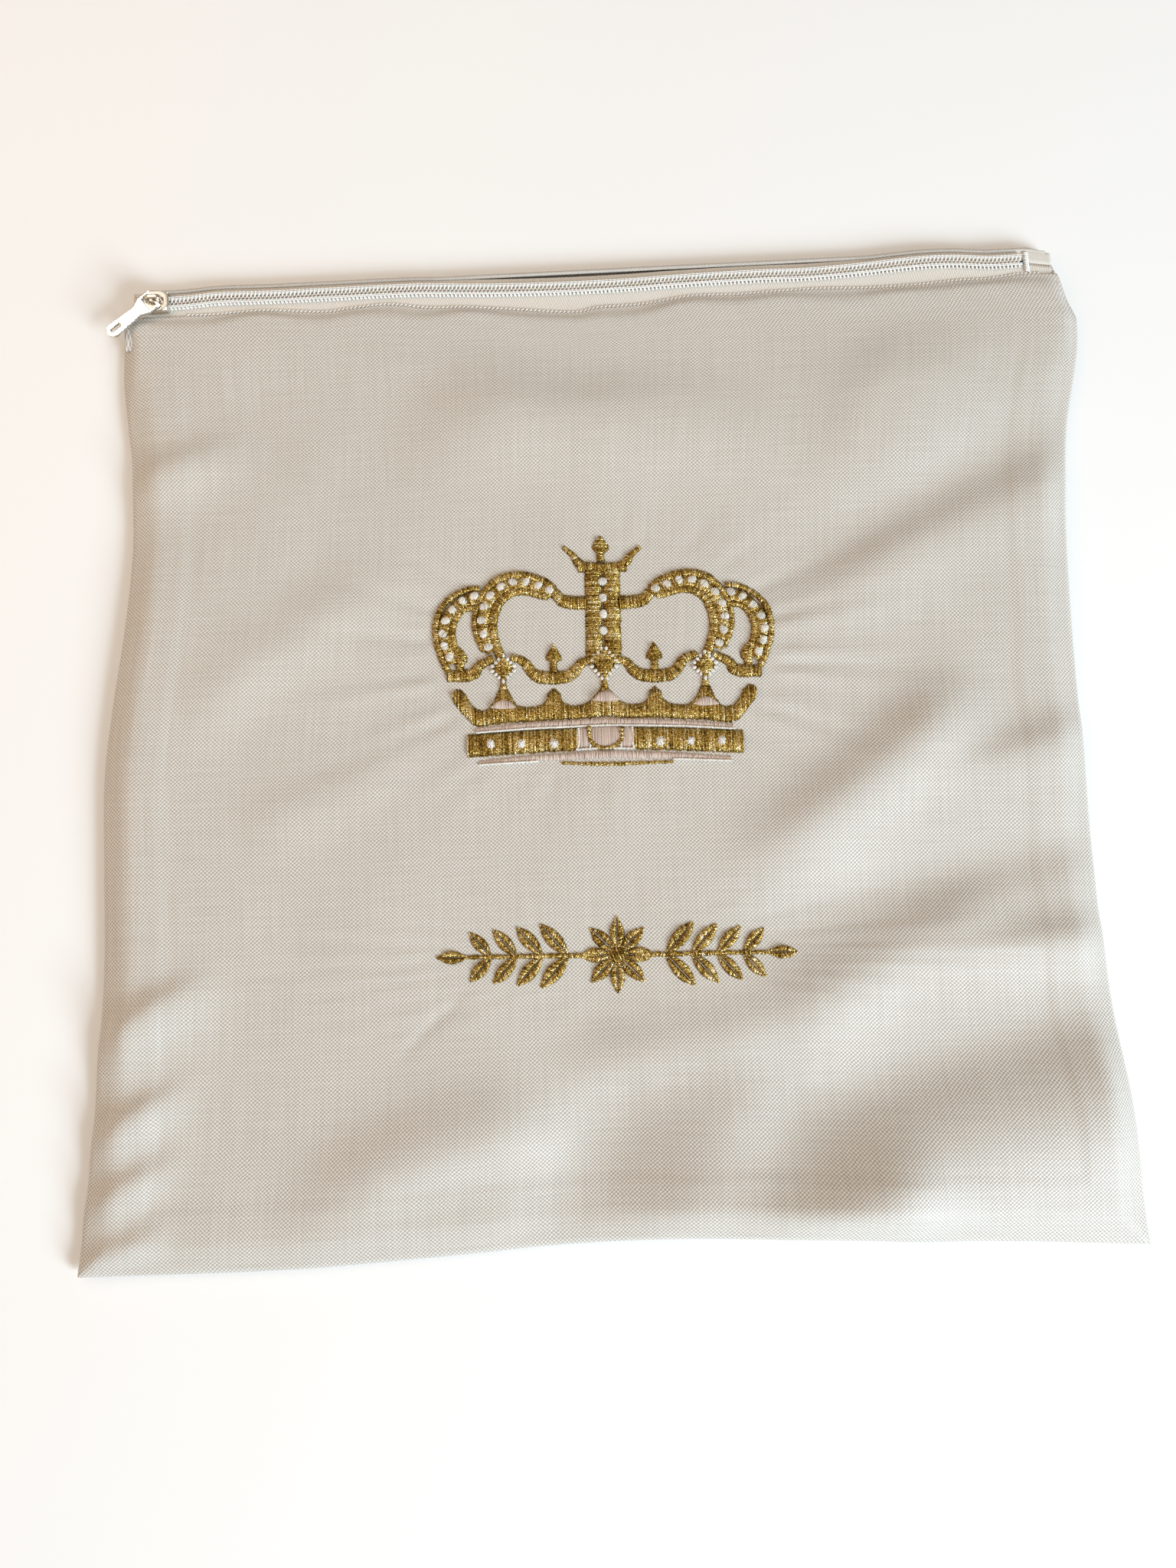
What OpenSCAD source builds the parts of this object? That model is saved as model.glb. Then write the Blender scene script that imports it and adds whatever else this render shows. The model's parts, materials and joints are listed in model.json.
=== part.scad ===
// Zipped fabric pouch for a prayer book or shawl, lying flat with its embroidered face up.
// X runs to the right along the zipper, Y towards the zipper, Z up. The origin is on the
// underside, in the middle of the back panel.

/* [Pouch] */
// Width across the bottom edge
pouch_w = 300; // [200:1:420]
// Width at the top corners
top_w = 297; // [200:1:420]
// Height from the bottom edge to the middle of the zipper
pouch_h = 295; // [220:1:420]
// How far the left side is drawn in at the waist
left_waist = 2.5; // [0:0.5:8]
// How far the right side is drawn in at the waist
right_waist = 7.5; // [0:0.5:12]
// How far the bottom edge is drawn up in the middle
bottom_rise = 4.5; // [0:0.5:10]
// How much higher the right end of the bottom edge lies than the left
foot_lift = 2; // [0:0.5:6]
// How far in the left top corner is pulled
left_corner_in = 6; // [2:0.5:12]
// How far below the zipper the left top corner starts
left_corner_drop = 9; // [6:0.5:30]
// How far in the right top corner is pulled
right_corner_in = 9; // [2:0.5:16]
// How far below the zipper the right top corner starts
right_corner_drop = 21; // [6:0.5:40]
// Thickness of the woven fabric
fabric_t = 0.5; // [0.3:0.05:0.7]
// Width of the turned-in seam allowance
allowance_w = 18; // [8:1:25]
// Thickness of the sewing thread
thread_t = 0.4; // [0.2:0.05:0.5]

/* [Zipper] */
// Angle between the zipper and the bottom edge
zip_skew = 2.2; // [-4:0.1:4]
// Width of each zipper tape
tape_w = 12; // [10:0.5:16]
// Thickness of the zipper tape
tape_t = 0.6; // [0.4:0.05:0.8]
// Width of the gap between the two coils, where the loops mesh
mesh_gap = 1.4; // [1.2:0.1:2]
// Width of each coil beside that gap
coil_w = 1.5; // [1.3:0.1:2]
// Height of the coil above its tape
coil_h = 1.5; // [1.4:0.1:2]
// Radius of the cord inside the coil
cord_r = 0.42; // [0.3:0.02:0.5]
// Strip of tape left showing between the coil and the front fold
tape_show = 4; // [2:0.5:4.5]
// Width of fabric turned under along the zipper
hem_w = 10; // [6:0.5:14]
// Distance in from each end of the top edge to the zipper's tacks
end_margin = 8; // [6:0.5:14]

/* [Slider] */
// Length of the slider
slider_l = 8.6; // [7.5:0.1:10]
// Width of the slider's tail
slider_tail_w = 6.8; // [6.8:0.1:7.4]
// Radius of the slider's round nose
slider_nose_r = 3.8; // [3.7:0.1:4.2]
// Thickness of the slider's two plates
plate_t = 0.8; // [0.6:0.05:0.9]
// Clearance between the slider and the tape, coil and thread
slider_gap = 0.25; // [0.2:0.05:0.3]
// Height of the opening under the bridge
bridge_open_h = 1.8; // [1.7:0.1:2.4]
// Length of the opening under the bridge
bridge_open_l = 3.4; // [3.2:0.1:4]
// Thickness of the bridge
bridge_t = 0.9; // [0.7:0.05:1]
// Width of the bridge
bridge_w = 1.5; // [1.2:0.1:1.6]

/* [Pull tab] */
// Length of the tab from its cross bar to its tip
tab_l = 18; // [14:0.5:26]
// Width of the tab across its eye
tab_eye_w = 6; // [5.8:0.1:6.6]
// Width of the tab's waist
tab_waist_w = 3.4; // [3:0.1:4.2]
// Width of the tab near its tip
tab_tip_w = 4.4; // [4:0.1:5.5]
// Thickness of the tab
tab_t = 1; // [0.8:0.05:1.05]
// Sideways angle of the tab from the zipper's line
tab_yaw = 36; // [0:1:37]
// Angle that the tab droops by
tab_droop = 4; // [0:0.5:4.5]

/* [Embroidery] */
// Thickness of the stitched thread above the fabric
stitch_h = 0.9; // [0.4:0.1:1.5]
// Height of the white pearls above the gold thread
pearl_h = 0.4; // [0.2:0.1:0.8]
// Radius of a pearl
pearl_r = 1.2; // [0.8:0.1:1.5]
// Width of the crown across its outer arches
crown_w = 102; // [70:1:120]
// Height of the crown's foot above the middle of the pouch
crown_foot_y = -6; // [-30:1:20]
// Length of the leafy spray
spray_l = 104; // [70:1:130]
// Height of the spray's stem below the middle of the pouch
spray_drop = 61; // [50:1:90]
// Thickness of the non-woven backing
backing_t = 0.3; // [0.2:0.05:0.4]
// How far the backing reaches past the stitching
backing_margin = 5; // [2:0.5:10]

/* [Hidden] */
$fn = 48;

// Heights of the layers, from the table up
hem_top = 2 * fabric_t;                            // back panel and its turned-in edge
front_z = hem_top + thread_t + fabric_t;           // underside of the front panel
return_top = hem_top + tape_t;                     // back tape where it turns under
slider_z = return_top + thread_t + 0.15;           // underside of the slider
tape_z = slider_z + plate_t + slider_gap;          // underside of the tapes at the coils
coil_z = tape_z + tape_t;
coil_top = coil_z + coil_h;
stitching_h = 0.25;
plate_z = coil_top + stitching_h + slider_gap;     // underside of the slider's top plate
plate_top = plate_z + plate_t;
fold_z = coil_z + fabric_t;                        // underside of the front panel over its hem

// Distances from the middle of the zipper, towards the pouch
tape_edge = mesh_gap / 2;
coil_edge = tape_edge + coil_w;
fold_edge = coil_edge + tape_show;                 // folded edge of the front panel
ramp_top = fold_edge + hem_w + 2;                  // where the front panel starts down
ramp_run = 26;
lip_in = coil_edge + 0.4;                          // inner face of the slider's lips
bend_at = slider_nose_r + 0.8;                     // where the back tape turns under
bend_out = (coil_z - hem_top) / 2;                 // outer radius of that turn
back_show = 3.2;                                   // edge of the back panel past the middle

// The zipper's line in the pouch
zip_y = pouch_h / 2;
bottom_y = zip_y - pouch_h;
left_x = -top_w / 2;
right_x = top_w / 2;
left_end = left_x + end_margin - 3.6;              // cut ends of the tapes
right_end = right_x - right_corner_in - 3.6;
tack_l = 1.6;
coil_left = left_end + tack_l + 0.3;
coil_right = right_end - tack_l - 0.3;
slider_x = coil_left + slider_l / 2 + 0.3;         // middle of the closed slider
slider_shift = -0.5;                               // middle of its nose

// The bridge and the tab's eye
bridge_leg = 0.9;
bridge_l = bridge_open_l + 2 * bridge_leg;
bridge_r = 1.2;
open_r = 0.8;
pivot_z = plate_top + bridge_open_h / 2;
bar_half = tab_t / 2;
eye_l = bridge_l / 2 + 0.4;
eye_rail = 0.72;

// The crown's own measures, all shares of its width
crown_x = -0.4;
unit = crown_w / 102;
stitch_z = front_z + fabric_t;
spray_x = 1.8;

function tilt(p) = [p[0] * cos(zip_skew) - p[1] * sin(zip_skew),
                    p[0] * sin(zip_skew) + p[1] * cos(zip_skew) + zip_y];

// A point between a and b at share t, drawn aside by a parabola of the given height
function drawn(a, b, rise, t) =
    let (d = b - a, side = [-d[1], d[0]] / norm(d))
    a + d * t + side * rise * 4 * t * (1 - t);
function edge(a, b, rise) = [for (i = [0:11]) drawn(a, b, rise, i / 12)];

// The pouch in plan, drawn in all round by an inset
function plan(inset) =
    let (
        low_left = [-pouch_w / 2 + inset, bottom_y + inset],
        low_right = [pouch_w / 2 - inset, bottom_y + foot_lift + inset],
        right_low = tilt([right_x, -right_corner_drop]) + [-inset, -inset / 2],
        right_top = tilt([right_x - right_corner_in, 8]) + [-inset, 0],
        left_top = tilt([left_x + left_corner_in, 8]) + [inset, 0],
        left_low = tilt([left_x, -left_corner_drop]) + [inset, -inset / 2]
    )
    concat(
        edge(low_left, low_right, bottom_rise),
        edge(low_right, right_low, right_waist),
        [right_low, right_top, left_top],
        edge(left_low, low_left, left_waist)
    );

// Puts a shape in the zipper's frame: x along it, y across it, z up from the table
module on_zipper() {
    translate([0, zip_y, 0]) rotate([0, 0, zip_skew]) children();
}

// Carries a section in (across, up) along the zipper's line
module along(from, to) {
    on_zipper() translate([from, 0, 0]) rotate([90, 0, 90]) linear_extrude(to - from) children();
}

// A layer of even thickness over a line of (across, up) points
module layer(points, t) {
    above = [for (i = [len(points) - 1:-1:0]) points[i] + [0, t]];
    along(-pouch_w, pouch_w) polygon(concat(points, above));
}

module slab(z, h) {
    translate([0, 0, z]) linear_extrude(h) children();
}

module in_plan(inset) {
    slab(-1, 40) polygon(plan(inset));
}

// Front panel: one layer of fabric that climbs to the zipper, its sides and foot turned in
module front_panel() {
    reach = pouch_h + 30;
    rise = [[-reach, front_z], [-ramp_top - ramp_run, front_z], [-ramp_top, fold_z], [-fold_edge, fold_z]];
    under = [for (p = rise) p - [0, fabric_t]];
    hem = [[-fold_edge - hem_w, coil_z], [-fold_edge, coil_z]];
    color("ivory") {
        intersection() {
            layer(rise, fabric_t);
            in_plan(0);
        }
        intersection() {
            difference() {
                layer(under, fabric_t);
                in_plan(allowance_w);
            }
            in_plan(0);
        }
        intersection() {
            layer(hem, fabric_t);
            in_plan(0);
        }
    }
}

// Back panel: one flat layer, with its sides, foot and top edge turned in
module back_panel() {
    color("antiquewhite") difference() {
        intersection() {
            layer([[-pouch_h - 30, 0], [back_show, 0]], 2 * fabric_t);
            in_plan(0);
        }
        intersection() {
            layer([[-pouch_h - 30, fabric_t], [back_show - hem_w, fabric_t]], 2 * fabric_t);
            in_plan(allowance_w);
        }
    }
}

// Lockstitch thread that joins the two panels round the sides and the foot
module panel_seam_thread() {
    seam_in = 1;
    color("white") intersection() {
        slab(hem_top, thread_t) difference() {
            polygon(plan(seam_in));
            polygon(plan(seam_in + thread_t));
        }
        layer([[-pouch_h - 30, 0], [-ramp_top - ramp_run, 0]], 9);
    }
}

// A leaf between two equal arcs, its foot at the middle
module leaf(l, w) {
    r = (l * l + w * w) / (4 * w);
    translate([l / 2, 0]) intersection() {
        translate([0, r - w / 2]) circle(r);
        translate([0, w / 2 - r]) circle(r);
    }
}

module at_crown() {
    translate([crown_x, crown_foot_y, 0]) children();
}

module both_sides() {
    children();
    mirror([1, 0]) children();
}

// One stitched arch of the crown: a ring, cut off level at the rim
module arch(x, y, r, w) {
    intersection() {
        translate([x, y]) difference() {
            circle(r);
            circle(r - w);
        }
        translate([x - r, 26 * unit]) square([2 * r, 60 * unit]);
    }
}

// Crown in outline: post, collar and bud, four arches, rim, scalloped band and jewel band
module crown_shape() {
    half_rim = 44 * unit;
    half_foot = 39.5 * unit;
    both_sides() {
        arch(-36.5 * unit, 40 * unit, 14.5 * unit, 5 * unit);
        arch(-22.5 * unit, 44 * unit, 14.5 * unit, 4.6 * unit);
    }
    translate([-5.5 * unit, 28 * unit]) square([11 * unit, 32 * unit]);
    translate([-6.8 * unit, 59 * unit]) square([13.6 * unit, 3.4 * unit]);
    both_sides() polygon([[4, 60.5] * unit, [6.8, 59] * unit, [11.4, 66.5] * unit, [7.6, 65] * unit]);
    translate([0, 66.5 * unit]) circle(2.5 * unit);
    translate([-1 * unit, 61 * unit]) square([2 * unit, 4 * unit]);
    translate([-half_rim, 24.5 * unit]) square([2 * half_rim, 3.5 * unit]);
    for (x = [-30, -15, 0, 15, 30]) translate([x * unit, 22.5 * unit]) circle(3 * unit);
    polygon([[-half_foot, 13.4 * unit], [half_foot, 13.4 * unit],
             [half_rim - unit, 21 * unit], [unit - half_rim, 21 * unit]]);
    translate([-half_foot, 3.4 * unit]) square([2 * half_foot, 7 * unit]);
}

module crown_gold_thread() {
    color("goldenrod") at_crown() slab(stitch_z, stitch_h) crown_shape();
}

// Pale stripes above and below the jewel band
module crown_pale_thread() {
    color("mistyrose") at_crown() slab(stitch_z, stitch_h) {
        translate([-38 * unit, 10.4 * unit]) square([76 * unit, 3 * unit]);
        translate([-38 * unit, 0.8 * unit]) square([76 * unit, 2.6 * unit]);
    }
}

// White pearls on the arches, the post and the jewel band
module crown_pearl_thread() {
    color("white") at_crown() slab(stitch_z + stitch_h, pearl_h) {
        both_sides() {
            for (a = [60:22:192])
                translate([-36.5, 40] * unit + 12 * unit * [cos(a), sin(a)]) circle(pearl_r);
            for (a = [75:18:201])
                translate([-22.5, 44] * unit + 12.2 * unit * [cos(a), sin(a)]) circle(pearl_r);
            for (x = [15.5, 24.5, 33.5])
                translate([x, 6.9] * unit) circle(pearl_r);
        }
        for (y = [32, 38, 44, 50, 56])
            translate([0, y] * unit) circle(pearl_r);
    }
}

// Cut-away backing under the crown, with the bobbin thread below it
module crown_backing() {
    color("whitesmoke") at_crown() slab(front_z - backing_t, backing_t)
        translate([-crown_w / 2 - backing_margin, -backing_margin])
            square([crown_w + 2 * backing_margin, 70 * unit + 2 * backing_margin]);
}

module crown_bobbin_thread() {
    color("white") at_crown() slab(front_z - 2 * backing_t, backing_t) crown_shape();
}

// Leafy spray: a rosette between two stems with paired leaves
module spray_shape() {
    stem_w = 1.4;
    end_leaf = 9;
    first = 14;
    stem_l = spray_l / 2 - end_leaf + 0.5;
    pitch = (stem_l - first) / 4;
    for (a = [0:45:315]) rotate(a) leaf(10.5, 4);
    circle(3);
    both_sides() {
        translate([5, -stem_w / 2]) square([stem_l - 4.5, stem_w]);
        translate([stem_l - 0.5, 0]) leaf(end_leaf, 3.6);
        for (i = [0:3], side = [-1, 1])
            translate([first + i * pitch, 0]) rotate(side * 48) leaf(12.5 - i, 4.4 - i / 4);
    }
}

module at_spray() {
    translate([spray_x, -spray_drop, 0]) children();
}

module spray_gold_thread() {
    color("goldenrod") at_spray() slab(stitch_z, stitch_h) spray_shape();
}

module spray_backing() {
    half_h = 11 + backing_margin;
    color("whitesmoke") at_spray() slab(front_z - backing_t, backing_t)
        translate([-spray_l / 2 - backing_margin, -half_h])
            square([spray_l + 2 * backing_margin, 2 * half_h]);
}

module spray_bobbin_thread() {
    color("white") at_spray() slab(front_z - 2 * backing_t, backing_t) spray_shape();
}

// Front tape: lies flat from the coil to under the front panel
module front_tape() {
    color("white") along(left_end, right_end)
        translate([-tape_edge - tape_w, tape_z]) square([tape_w, tape_t]);
}

// Back tape: flat under the slider, then turned under to meet the back panel
module back_tape() {
    half_turn = PI * (bend_out - tape_t / 2);
    under_l = tape_w - (bend_at - tape_edge) - half_turn;
    lap = 0.02;
    color("white") along(left_end, right_end) {
        translate([tape_edge, tape_z]) square([bend_at - tape_edge, tape_t]);
        translate([bend_at - under_l, hem_top]) square([under_l, tape_t]);
        translate([bend_at, hem_top + bend_out]) difference() {
            circle(bend_out);
            circle(bend_out - tape_t);
            translate([-2 * bend_out - lap, -2 * bend_out]) square([2 * bend_out, 4 * bend_out]);
        }
    }
}

// One coil: a bar with a round hole through it for its cord. Side is -1 in front, 1 behind
module coil(side) {
    color("snow") along(coil_left, coil_right) translate([side * (tape_edge + coil_w / 2), coil_z]) difference() {
        translate([-coil_w / 2, 0]) square([coil_w, coil_h]);
        translate([0, coil_h / 2]) circle(cord_r + 0.06);
    }
}

module coil_cord(side) {
    color("white") along(coil_left, coil_right)
        translate([side * (tape_edge + coil_w / 2), coil_z + coil_h / 2]) circle(cord_r);
}

// Chain stitching that ties the coil to its tape, seen as one line along the top
module coil_stitching(side) {
    line_w = 0.6;
    color("white") along(coil_left, coil_right)
        translate([side * (tape_edge + coil_w / 2) - line_w / 2, coil_top]) square([line_w, stitching_h]);
}

module front_coil() { coil(-1); }
module back_coil() { coil(1); }
module front_coil_cord() { coil_cord(-1); }
module back_coil_cord() { coil_cord(1); }
module front_coil_stitching() { coil_stitching(-1); }
module back_coil_stitching() { coil_stitching(1); }

// Thread lines that sew each tape to its panel
module front_tape_thread() {
    color("white") along(left_end + 2, right_end - 2)
        translate([-fold_edge - 1.4, tape_z - thread_t]) square([thread_t, thread_t]);
}

module back_tape_thread() {
    color("white") along(left_end + 2, right_end - 2)
        translate([back_show - 1.4, return_top]) square([thread_t, thread_t]);
}

// A bar of stitches across both tapes at one end of the coils
module end_tack(x) {
    reach = coil_edge + 1.2;
    color("white") along(x, x + tack_l) translate([-reach, coil_z]) square([2 * reach, thread_t]);
}

module left_end_tack() { end_tack(left_end); }
module right_end_tack() { end_tack(right_end - tack_l); }

module at_slider() {
    on_zipper() translate([slider_x, 0, 0]) children();
}

// The slider in plan: round nose to the left, square tail to the right
module slider_plan() {
    translate([slider_shift, 0]) circle(slider_nose_r);
    translate([slider_shift, -slider_tail_w / 2]) square([slider_l / 2 - slider_shift, slider_tail_w]);
}

// The bridge from the side: an arch with rounded shoulders, open below
module arch_side(l, h, r) {
    translate([-l / 2, 0]) square([l, h - r]);
    translate([r - l / 2, 0]) square([l - 2 * r, h]);
    for (s = [-1, 1]) translate([s * (l / 2 - r), h - r]) circle(r);
}

// Slider: flat back plate, front plate with a lip down each side, wedge post and bridge
module slider_body() {
    post_w = mesh_gap - 0.4;
    post_l = 2.4;
    color("silver") at_slider() {
        slab(slider_z, plate_t) slider_plan();
        difference() {
            slab(coil_z + slider_gap, plate_top - coil_z - slider_gap) slider_plan();
            translate([-slider_l, -lip_in, 0]) cube([2 * slider_l, 2 * lip_in, plate_z]);
        }
        translate([slider_shift - slider_nose_r + 0.8, -post_w / 2, slider_z + plate_t / 2])
            cube([post_l, post_w, plate_z - slider_z]);
        translate([0, bridge_w / 2, plate_top]) rotate([90, 0, 0]) linear_extrude(bridge_w) difference() {
            arch_side(bridge_l, bridge_open_h + bridge_t, bridge_r);
            arch_side(bridge_open_l, bridge_open_h, open_r);
        }
    }
}

// Pull tab in plan, pointing along -x from the middle of its cross bar
module tab_plan() {
    tip_r = tab_tip_w / 2;
    neck = eye_l + 0.7;
    slot_w = 1.4;
    slot_l = 2.4;
    difference() {
        union() {
            translate([-neck, -tab_eye_w / 2]) square([neck + bar_half, tab_eye_w]);
            polygon([[-neck, tab_eye_w / 2], [-neck - 3, tab_waist_w / 2], [tip_r - tab_l, tip_r],
                     [tip_r - tab_l, -tip_r], [-neck - 3, -tab_waist_w / 2], [-neck, -tab_eye_w / 2]]);
            translate([tip_r - tab_l, 0]) circle(tip_r);
        }
        translate([-eye_l, eye_rail - tab_eye_w / 2]) square([eye_l - bar_half, tab_eye_w - 2 * eye_rail]);
        translate([tip_r - tab_l, -slot_w / 2]) square([slot_l, slot_w]);
        for (x = [0, slot_l]) translate([tip_r - tab_l + x, 0]) circle(slot_w / 2);
    }
}

module pull_tab() {
    color("gainsboro") at_slider() translate([0, 0, pivot_z])
        rotate([0, 0, tab_yaw]) rotate([0, -tab_droop, 0])
            translate([0, 0, -tab_t / 2]) linear_extrude(tab_t) tab_plan();
}

front_panel();
back_panel();
panel_seam_thread();
crown_backing();
crown_bobbin_thread();
crown_gold_thread();
crown_pale_thread();
crown_pearl_thread();
spray_backing();
spray_bobbin_thread();
spray_gold_thread();
front_tape();
back_tape();
front_coil();
back_coil();
front_coil_cord();
back_coil_cord();
front_coil_stitching();
back_coil_stitching();
front_tape_thread();
back_tape_thread();
left_end_tack();
right_end_tack();
slider_body();
pull_tab();
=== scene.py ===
import json

import bmesh
import bpy
import numpy as np
from mathutils import Euler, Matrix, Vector


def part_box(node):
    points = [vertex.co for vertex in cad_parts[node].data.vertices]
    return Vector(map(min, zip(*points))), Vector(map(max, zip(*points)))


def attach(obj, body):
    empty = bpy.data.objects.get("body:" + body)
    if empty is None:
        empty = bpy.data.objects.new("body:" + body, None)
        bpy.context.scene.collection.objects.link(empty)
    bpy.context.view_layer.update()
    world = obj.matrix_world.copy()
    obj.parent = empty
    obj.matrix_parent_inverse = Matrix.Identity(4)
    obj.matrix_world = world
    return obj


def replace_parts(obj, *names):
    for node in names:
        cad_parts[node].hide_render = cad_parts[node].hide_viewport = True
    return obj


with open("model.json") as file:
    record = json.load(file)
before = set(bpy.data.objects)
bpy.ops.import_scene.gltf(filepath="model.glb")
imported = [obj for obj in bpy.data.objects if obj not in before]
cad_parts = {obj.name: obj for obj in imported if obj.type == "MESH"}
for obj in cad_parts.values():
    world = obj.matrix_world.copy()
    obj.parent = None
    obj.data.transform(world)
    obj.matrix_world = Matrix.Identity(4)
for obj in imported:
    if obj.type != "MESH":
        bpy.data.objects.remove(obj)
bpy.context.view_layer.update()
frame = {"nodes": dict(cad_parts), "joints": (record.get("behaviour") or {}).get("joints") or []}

# ------------------------------------------------------------
# Camera, floor and light. The pouch lies on a pale table and is seen from almost straight above,
# through a wide phone lens, with cool daylight from its lower right and a warm lamp at its left.
# ------------------------------------------------------------
MM = 0.001
scene = bpy.context.scene
scene.view_settings.view_transform = "Standard"


def linear(hex_colour, alpha=1.0):
    """An sRGB hex colour as linear light: each channel c becomes ((c + 0.055) / 1.055) ** 2.4."""
    channels = np.array([int(hex_colour[i:i + 2], 16) for i in (1, 3, 5)]) / 255
    light = np.where(channels > 0.04045, ((channels + 0.055) / 1.055) ** 2.4, channels / 12.92)
    return (*light, alpha)


def finish(name, **look):
    """A material with one Principled shader: look gives the values of its own sockets."""
    material = bpy.data.materials.new(name)
    material.use_nodes = True
    shader = material.node_tree.nodes["Principled BSDF"]
    for socket, value in look.items():
        shader.inputs[socket.replace("_", " ")].default_value = value
    return material, material.node_tree, shader


def area_light(name, place, size, power, colour):
    """A square soft light at place, turned to face the middle of the pouch."""
    lamp = bpy.data.lights.new(name, "AREA")
    lamp.size = size
    lamp.energy = power
    lamp.color = linear(colour)[:3]
    lit = bpy.data.objects.new(name, lamp)
    lit.location = place
    lit.rotation_euler = (-Vector(place)).to_track_quat("-Z", "Y").to_euler()
    scene.collection.objects.link(lit)


lens = bpy.data.cameras.new("camera")
lens.lens = 27.04
camera = bpy.data.objects.new("camera", lens)
camera.location = (-0.0080, -0.0591, 0.3479)
camera.rotation_euler = Euler(np.radians((7.96, -0.23, -1.01)))
scene.collection.objects.link(camera)
scene.camera = camera

area_light("daylight", (1.10, -1.02, 0.76), 0.70, 35.5, "#E2F2FF")
area_light("lamp", (-0.80, 0.10, 0.50), 0.50, 1.6, "#FFC68C")
area_light("pale wall", (-0.42, 0.52, 0.66), 0.36, 0.9, "#FFF8F0")
area_light("ceiling", (0.0, 0.1, 1.2), 1.2, 2.6, "#FFF4E6")

world = bpy.data.worlds.new("room")
world.use_nodes = True
world.node_tree.nodes["Background"].inputs["Color"].default_value = linear("#F5EBDE")
world.node_tree.nodes["Background"].inputs["Strength"].default_value = 0.34
scene.world = world

floor_mesh = bpy.data.meshes.new("floor")
floor_mesh.from_pydata([(-3, -3, 0), (3, -3, 0), (3, 3, 0), (-3, 3, 0)], [], [(0, 1, 2, 3)])
floor = bpy.data.objects.new("floor", floor_mesh)
scene.collection.objects.link(floor)
floor_paint, _, _ = finish("matt white table paint", Base_Color=linear("#FCFCFB"), Roughness=0.8)
floor_mesh.materials.append(floor_paint)

# ------------------------------------------------------------
# How the pouch lies. Every soft piece is placed with these: the zipper's line, the pouch's edge
# in plan, and the height of its upper face, where the empty fabric stands up in long folds.
# Lengths from here on are in millimetres.
# ------------------------------------------------------------
rng = np.random.default_rng(18)


def low(node):
    """The least x, y and z of a node's box."""
    return np.array(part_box(node)[0]) / MM


def high(node):
    """The greatest x, y and z of a node's box."""
    return np.array(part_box(node)[1]) / MM


runs = next(j for j in frame["joints"] if j["name"] == "slider_run")
flips = next(j for j in frame["joints"] if j["name"] == "tab_flip")
ALONG = np.array(runs["axis"][:2]) / np.linalg.norm(runs["axis"][:2])
ACROSS = np.array([-ALONG[1], ALONG[0]])
pivot = np.array(flips["pos_m"]) / MM
ZIP = pivot[:2] - pivot[0] / ALONG[0] * ALONG      # where the zipper's line crosses x = 0
LEFT, RIGHT = low("back_panel")[0], high("back_panel")[0]
FOOT = low("back_panel")[1]
TAPE_Z, COIL_Z, COIL_TOP = low("front_tape")[2], low("front_coil")[2], high("front_coil")[2]
CLOTH = 0.5
SLIDER_A = pivot[0] / ALONG[0]
COIL_LEFT = SLIDER_A - 4.6
COIL_RIGHT = COIL_LEFT + (high("front_coil")[0] - low("front_coil")[0]) / ALONG[0]


def to_zip(x, y):
    """A point in plan as (along the zipper, across it): its dot products with the zipper's axes."""
    dx, dy = x - ZIP[0], y - ZIP[1]
    return dx * ALONG[0] + dy * ALONG[1], dx * ACROSS[0] + dy * ACROSS[1]


def from_zip(a, c):
    """The plan point that lies a along the zipper and c across it."""
    return ZIP[0] + a * ALONG[0] + c * ACROSS[0], ZIP[1] + a * ALONG[1] + c * ACROSS[1]


def ramp(x, start, end):
    """0 before start and 1 after end, with a smooth step 3t^2 - 2t^3 between."""
    t = np.clip((x - start) / (end - start), 0, 1)
    return t * t * (3 - 2 * t)


def smooth(points, steps=16):
    """A smooth line through the points: between each pair a cubic that leaves and arrives along
    the chord of its neighbours. Extra columns, such as a width, are carried along with it."""
    p = np.asarray(points, float)
    held = np.vstack([2 * p[0] - p[1], p, 2 * p[-1] - p[-2]])
    a, b, c, d = (held[i:len(p) - 1 + i, None] for i in range(4))
    t = np.linspace(0, 1, steps, endpoint=False)[None, :, None]
    curve = 2 * b + (c - a) * t + (2 * a - 5 * b + 4 * c - d) * t ** 2 + (3 * b - a - 3 * c + d) * t ** 3
    return np.vstack([curve.reshape(-1, p.shape[1]) / 2, p[-1]])


def follow(points, at):
    """The second column of a smooth line through the points, read off where the first equals at."""
    line = smooth(points)
    return np.interp(at, line[:, 0], line[:, 1])


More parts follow.
